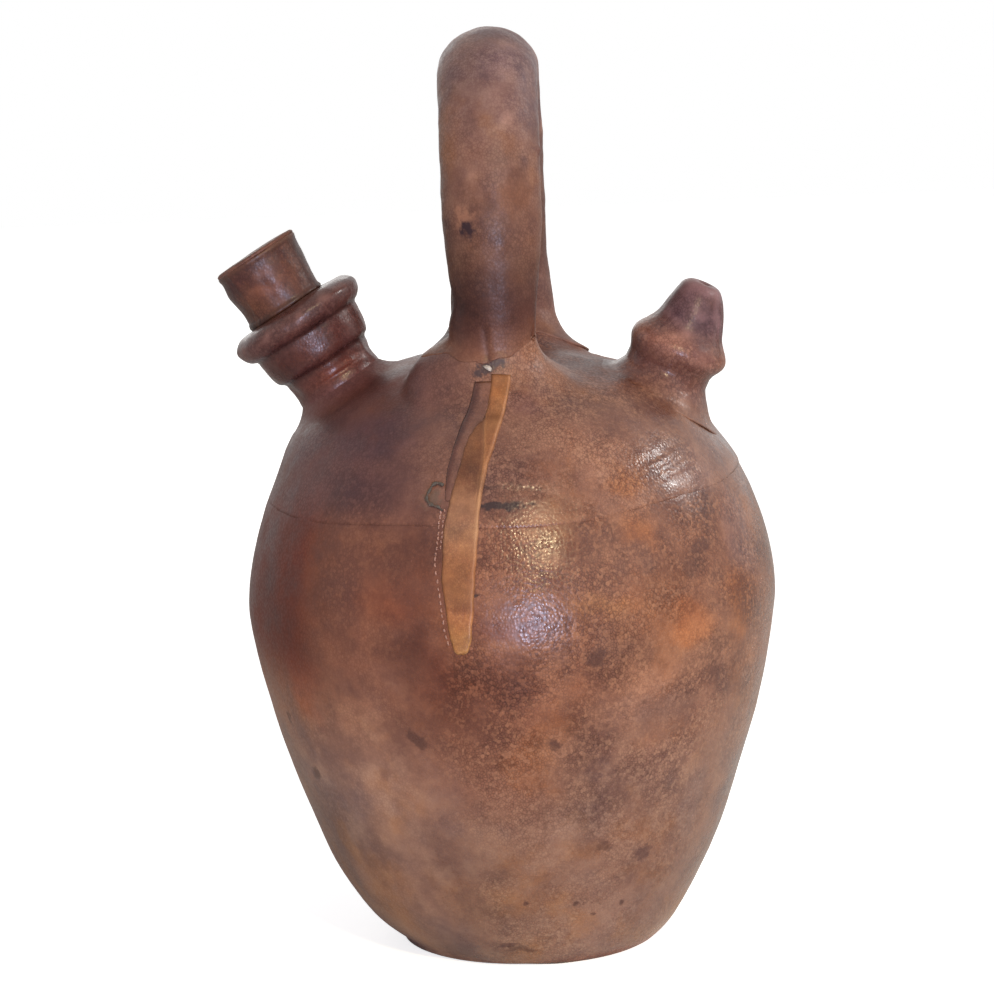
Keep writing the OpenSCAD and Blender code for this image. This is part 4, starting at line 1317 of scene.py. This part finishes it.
# Thread
def tube(path, radii, sides=8):
    """A closed tube along a path of points in mm, rounded at its ends."""
    path = np.asarray(path, float)
    radii = np.broadcast_to(radii, len(path)).copy()
    tangent = np.gradient(path, axis=0)
    tangent /= np.linalg.norm(tangent, axis=1)[:, None]
    up = np.array([0.0, 0.0, 1.0])
    verts = []
    a = circle(sides)
    for p, t, r in zip(path, tangent, radii):
        side = np.cross(t, up)
        if np.linalg.norm(side) < 0.2:
            side = np.cross(t, (1.0, 0.0, 0.0))
        side /= np.linalg.norm(side)
        other = np.cross(side, t)
        verts.append(p + r * (np.cos(a)[:, None] * side + np.sin(a)[:, None] * other))
    verts = np.vstack(verts + [path[:1], path[-1:]])
    count = len(path) * sides
    ends = fan(count, 0, sides) + fan(count + 1, count - sides, sides, back=True)
    return verts, grid_faces(len(path), sides) + ends


def join(parts):
    verts, faces, start = [], [], 0
    for v, f in parts:
        verts.append(v)
        faces += [tuple(i + start for i in q) for q in f]
        start += len(v)
    return np.vstack(verts), faces


def stitch(a, b, lift, r):
    """One stitch from a to b, both (azimuth, height), that dives into the leather at each end."""
    share = np.linspace(0, 1, 9)
    az = a[0] + (b[0] - a[0]) * share
    z = a[1] + (b[1] - a[1]) * share
    phi, s = np.radians(az), s_of_z(z)
    rise = lift + lay_lift(phi, s) + 0.55 * np.sin(math.pi * share) - 0.35
    return tube(on_jar(phi, s, rise), r * (0.75 + 0.25 * np.sin(math.pi * share)))


def build_chip():
    """A pale flake of clay caught in the gap under the front foot's leather."""
    centre = np.array([0.9, -52.75, 222.7])
    side, up, out = np.array([1.0, 0.05, 0.0]), np.array([0.0, 0.42, 0.9]), np.array([0.0, -0.9, 0.42])
    outline = [(-1.6, 0.9), (-0.2, 1.15), (0.9, 0.75), (1.5, -0.1), (1.2, -1.1), (0.3, -0.75), (-0.7, 0.0)]
    top = np.array([centre + a * side + b * up + 0.25 * out for a, b in outline])
    low = np.array([centre + 1.1 * a * side + 1.1 * b * up - 0.5 * out for a, b in outline])
    n = len(outline)
    verts = np.vstack([top, low, top.mean(0)[None], low.mean(0)[None]])
    faces = [(k, (k + 1) % n, n + (k + 1) % n, n + k) for k in range(n)]
    faces += fan(2 * n, 0, n, back=True) + fan(2 * n + 1, n, n)
    make("clay_flake", verts, faces, chip_white)


def build_threads():
    rng = random.Random(11)
    zs = [177.5, 169, 160, 152, 145, 138.5, 134, 131.5][::-1]
    azs = [-99.4, -99.7, -100.1, -99.2, -98.5, -98.0, -97.5, -97.1][::-1]
    parts = []
    z = 132.0
    while z < 177.5:
        pitch = 2.25 if z < 166 else 1.7
        a = float(np.interp(z, zs, azs)) + rng.uniform(-0.12, 0.12)
        b = float(np.interp(z + 1.3, zs, azs)) + rng.uniform(-0.12, 0.12)
        long = rng.uniform(0.8, 1.5)
        parts.append(stitch((a, z), (b, z + long), 0.1, rng.uniform(0.24, 0.36)))
        if z > 164:
            parts.append(stitch((a + 0.9, z + 0.5), (b + 0.9, z + 1.4), 0.1, 0.26))
        z += pitch * rng.uniform(0.75, 1.25)
    verts, faces = join(parts)
    make("strip_stitches", verts, faces, thread)
    curl = [(-99.2, 185.4), (-100.6, 186.2), (-102.0, 185.3), (-102.6, 183.4), (-103.0, 181.0),
            (-101.4, 178.9), (-100.0, 178.6), (-99.0, 177.4)]
    pts = np.array([at(a, z, 1.0) for a, z in curl])
    path = evenly(spline(pts), 0.6)
    path = path + 0.25 * np.stack([rough(path, 2.0, 80), rough(path, 2.0, 81), rough(path, 2.0, 82)], -1)
    k = np.arange(len(path))
    verts, faces = tube(path, 0.48 + 0.16 * np.sin(1.3 * k) + 0.1 * np.sin(0.4 * k), 10)
    make("strip_end_loop", verts, faces, cord_green)


# Build
body = build_body()
shoulder = build_shoulder()
skin = surface_of(body, shoulder)
build_mouth()
build_spout()
build_handle()
build_strips()
build_stopper()
build_chip()
build_threads()

# the CAD nodes that are seen as they are
for finish, names in ((clay, ("clay_body", "clay_dome", "clay_mouth", "clay_spout", "clay_handle")),
                      (body_leather, ("base_leather",)), (wood, ("stopper_plug",))):
    for name in names:
        nodes[name].data.materials.clear()
        nodes[name].data.materials.append(finish)

# Floor, light and camera
scene = bpy.context.scene


def studio_world(strength, colour):
    """White to the camera and to what reflects or lets it through, plain light to the rest."""
    world = bpy.data.worlds.new("studio")
    world.use_nodes = True
    w = Nodes(world.node_tree)
    path = w.node("LightPath").outputs
    seen = w.math("MAXIMUM", path["Is Camera Ray"], path["Is Glossy Ray"])
    seen = w.math("MAXIMUM", seen, path["Is Transmission Ray"])
    light = w.node("Background", {"Color": colour, "Strength": strength}).outputs[0]
    white = w.node("Background", {"Color": (1, 1, 1, 1), "Strength": 1.0}).outputs[0]
    w.node("OutputWorld", {"Surface": w.node("MixShader", {0: seen, 1: light, 2: white}).outputs[0]})
    return world


scene.world = studio_world(0.3, (1.0, 0.99, 0.98, 1))

floor_mesh = bpy.data.meshes.new("floor")
floor_mesh.from_pydata([(-3, -3, 0), (3, -3, 0), (3, 3, 0), (-3, 3, 0)], [], [(0, 1, 2, 3)])
floor = bpy.data.objects.new("floor", floor_mesh)
scene.collection.objects.link(floor)
floor.location.z = -0.0003
plain = Shader("floor_white")
plain.surface((0.86, 0.86, 0.86, 1), 0.9)
plain.bsdf.inputs["Specular IOR Level"].default_value = 0.1
plain.bsdf.inputs["Emission Color"].default_value = (1, 1, 1, 1)
seen = plain.node("LightPath").outputs["Is Camera Ray"]
plain.set(plain.bsdf.inputs["Emission Strength"], plain.math("MULTIPLY", seen, 0.72))
floor_mesh.materials.append(plain.material)


def lamp(name, place, aim, size, power, colour, size_y=None):
    data = bpy.data.lights.new(name, "AREA")
    data.shape = "RECTANGLE"
    data.size, data.size_y = size, size_y or size
    data.energy = power
    data.color = colour
    obj = bpy.data.objects.new(name, data)
    scene.collection.objects.link(obj)
    obj.location = place
    obj.rotation_mode = "QUATERNION"
    obj.rotation_quaternion = (Vector(aim) - Vector(place)).to_track_quat("-Z", "Y")


CENTRE = (0.0, 0.0, 0.17)
lamp("warm_window", (0.625, -1.64, 1.18), CENTRE, 0.18, 19.5, (1.0, 0.8, 0.48), 0.075)
lamp("cool_window", (0.47, -1.94, 0.20), (0, 0, 0.14), 0.12, 25.0, (0.64, 0.72, 1.0), 0.13)
lamp("rim", (1.6, 0.4, 1.14), CENTRE, 0.3, 11.0, (1.0, 0.98, 0.96))
lamp("side", (1.6, -0.9, 0.7), CENTRE, 1.2, 4.5, (1.0, 0.97, 0.93))
lamp("back", (-0.7, 1.9, 0.9), CENTRE, 1.2, 6.0, (1.0, 0.98, 0.95))

# camera: turns, distance and height in mm, then focal length, shift and height of the picture in its pixels
YAW, PITCH, ROLL = math.radians(6.4), math.radians(10.31), math.radians(-2.83)
FAR, RISE = 1280.0, 391.0
FOCUS, SHIFT, PICTURE_H = 3475.0, (11.77, 21.78), 995.0
SENSOR = 36.0
forward = Vector((-math.sin(YAW) * math.cos(PITCH), math.cos(YAW) * math.cos(PITCH), -math.sin(PITCH)))
right = Vector((math.cos(YAW), math.sin(YAW), 0))
up = right.cross(forward)
right, up = (math.cos(ROLL) * right + math.sin(ROLL) * up, math.cos(ROLL) * up - math.sin(ROLL) * right)
camera_data = bpy.data.cameras.new("camera")
camera_data.sensor_width = SENSOR
camera_data.lens = FOCUS * SENSOR / PICTURE_H
camera_data.shift_x, camera_data.shift_y = -SHIFT[0] / PICTURE_H, SHIFT[1] / PICTURE_H
camera_data.clip_start, camera_data.clip_end = 0.05, 20.0
camera = bpy.data.objects.new("camera", camera_data)
scene.collection.objects.link(camera)
rotation = Matrix((right, up, -forward)).transposed().to_4x4()
spot_at = Vector((math.sin(YAW) * FAR, -math.cos(YAW) * FAR, RISE)) * MM
camera.matrix_world = Matrix.Translation(spot_at) @ rotation
scene.camera = camera

scene.view_settings.view_transform = "Standard"
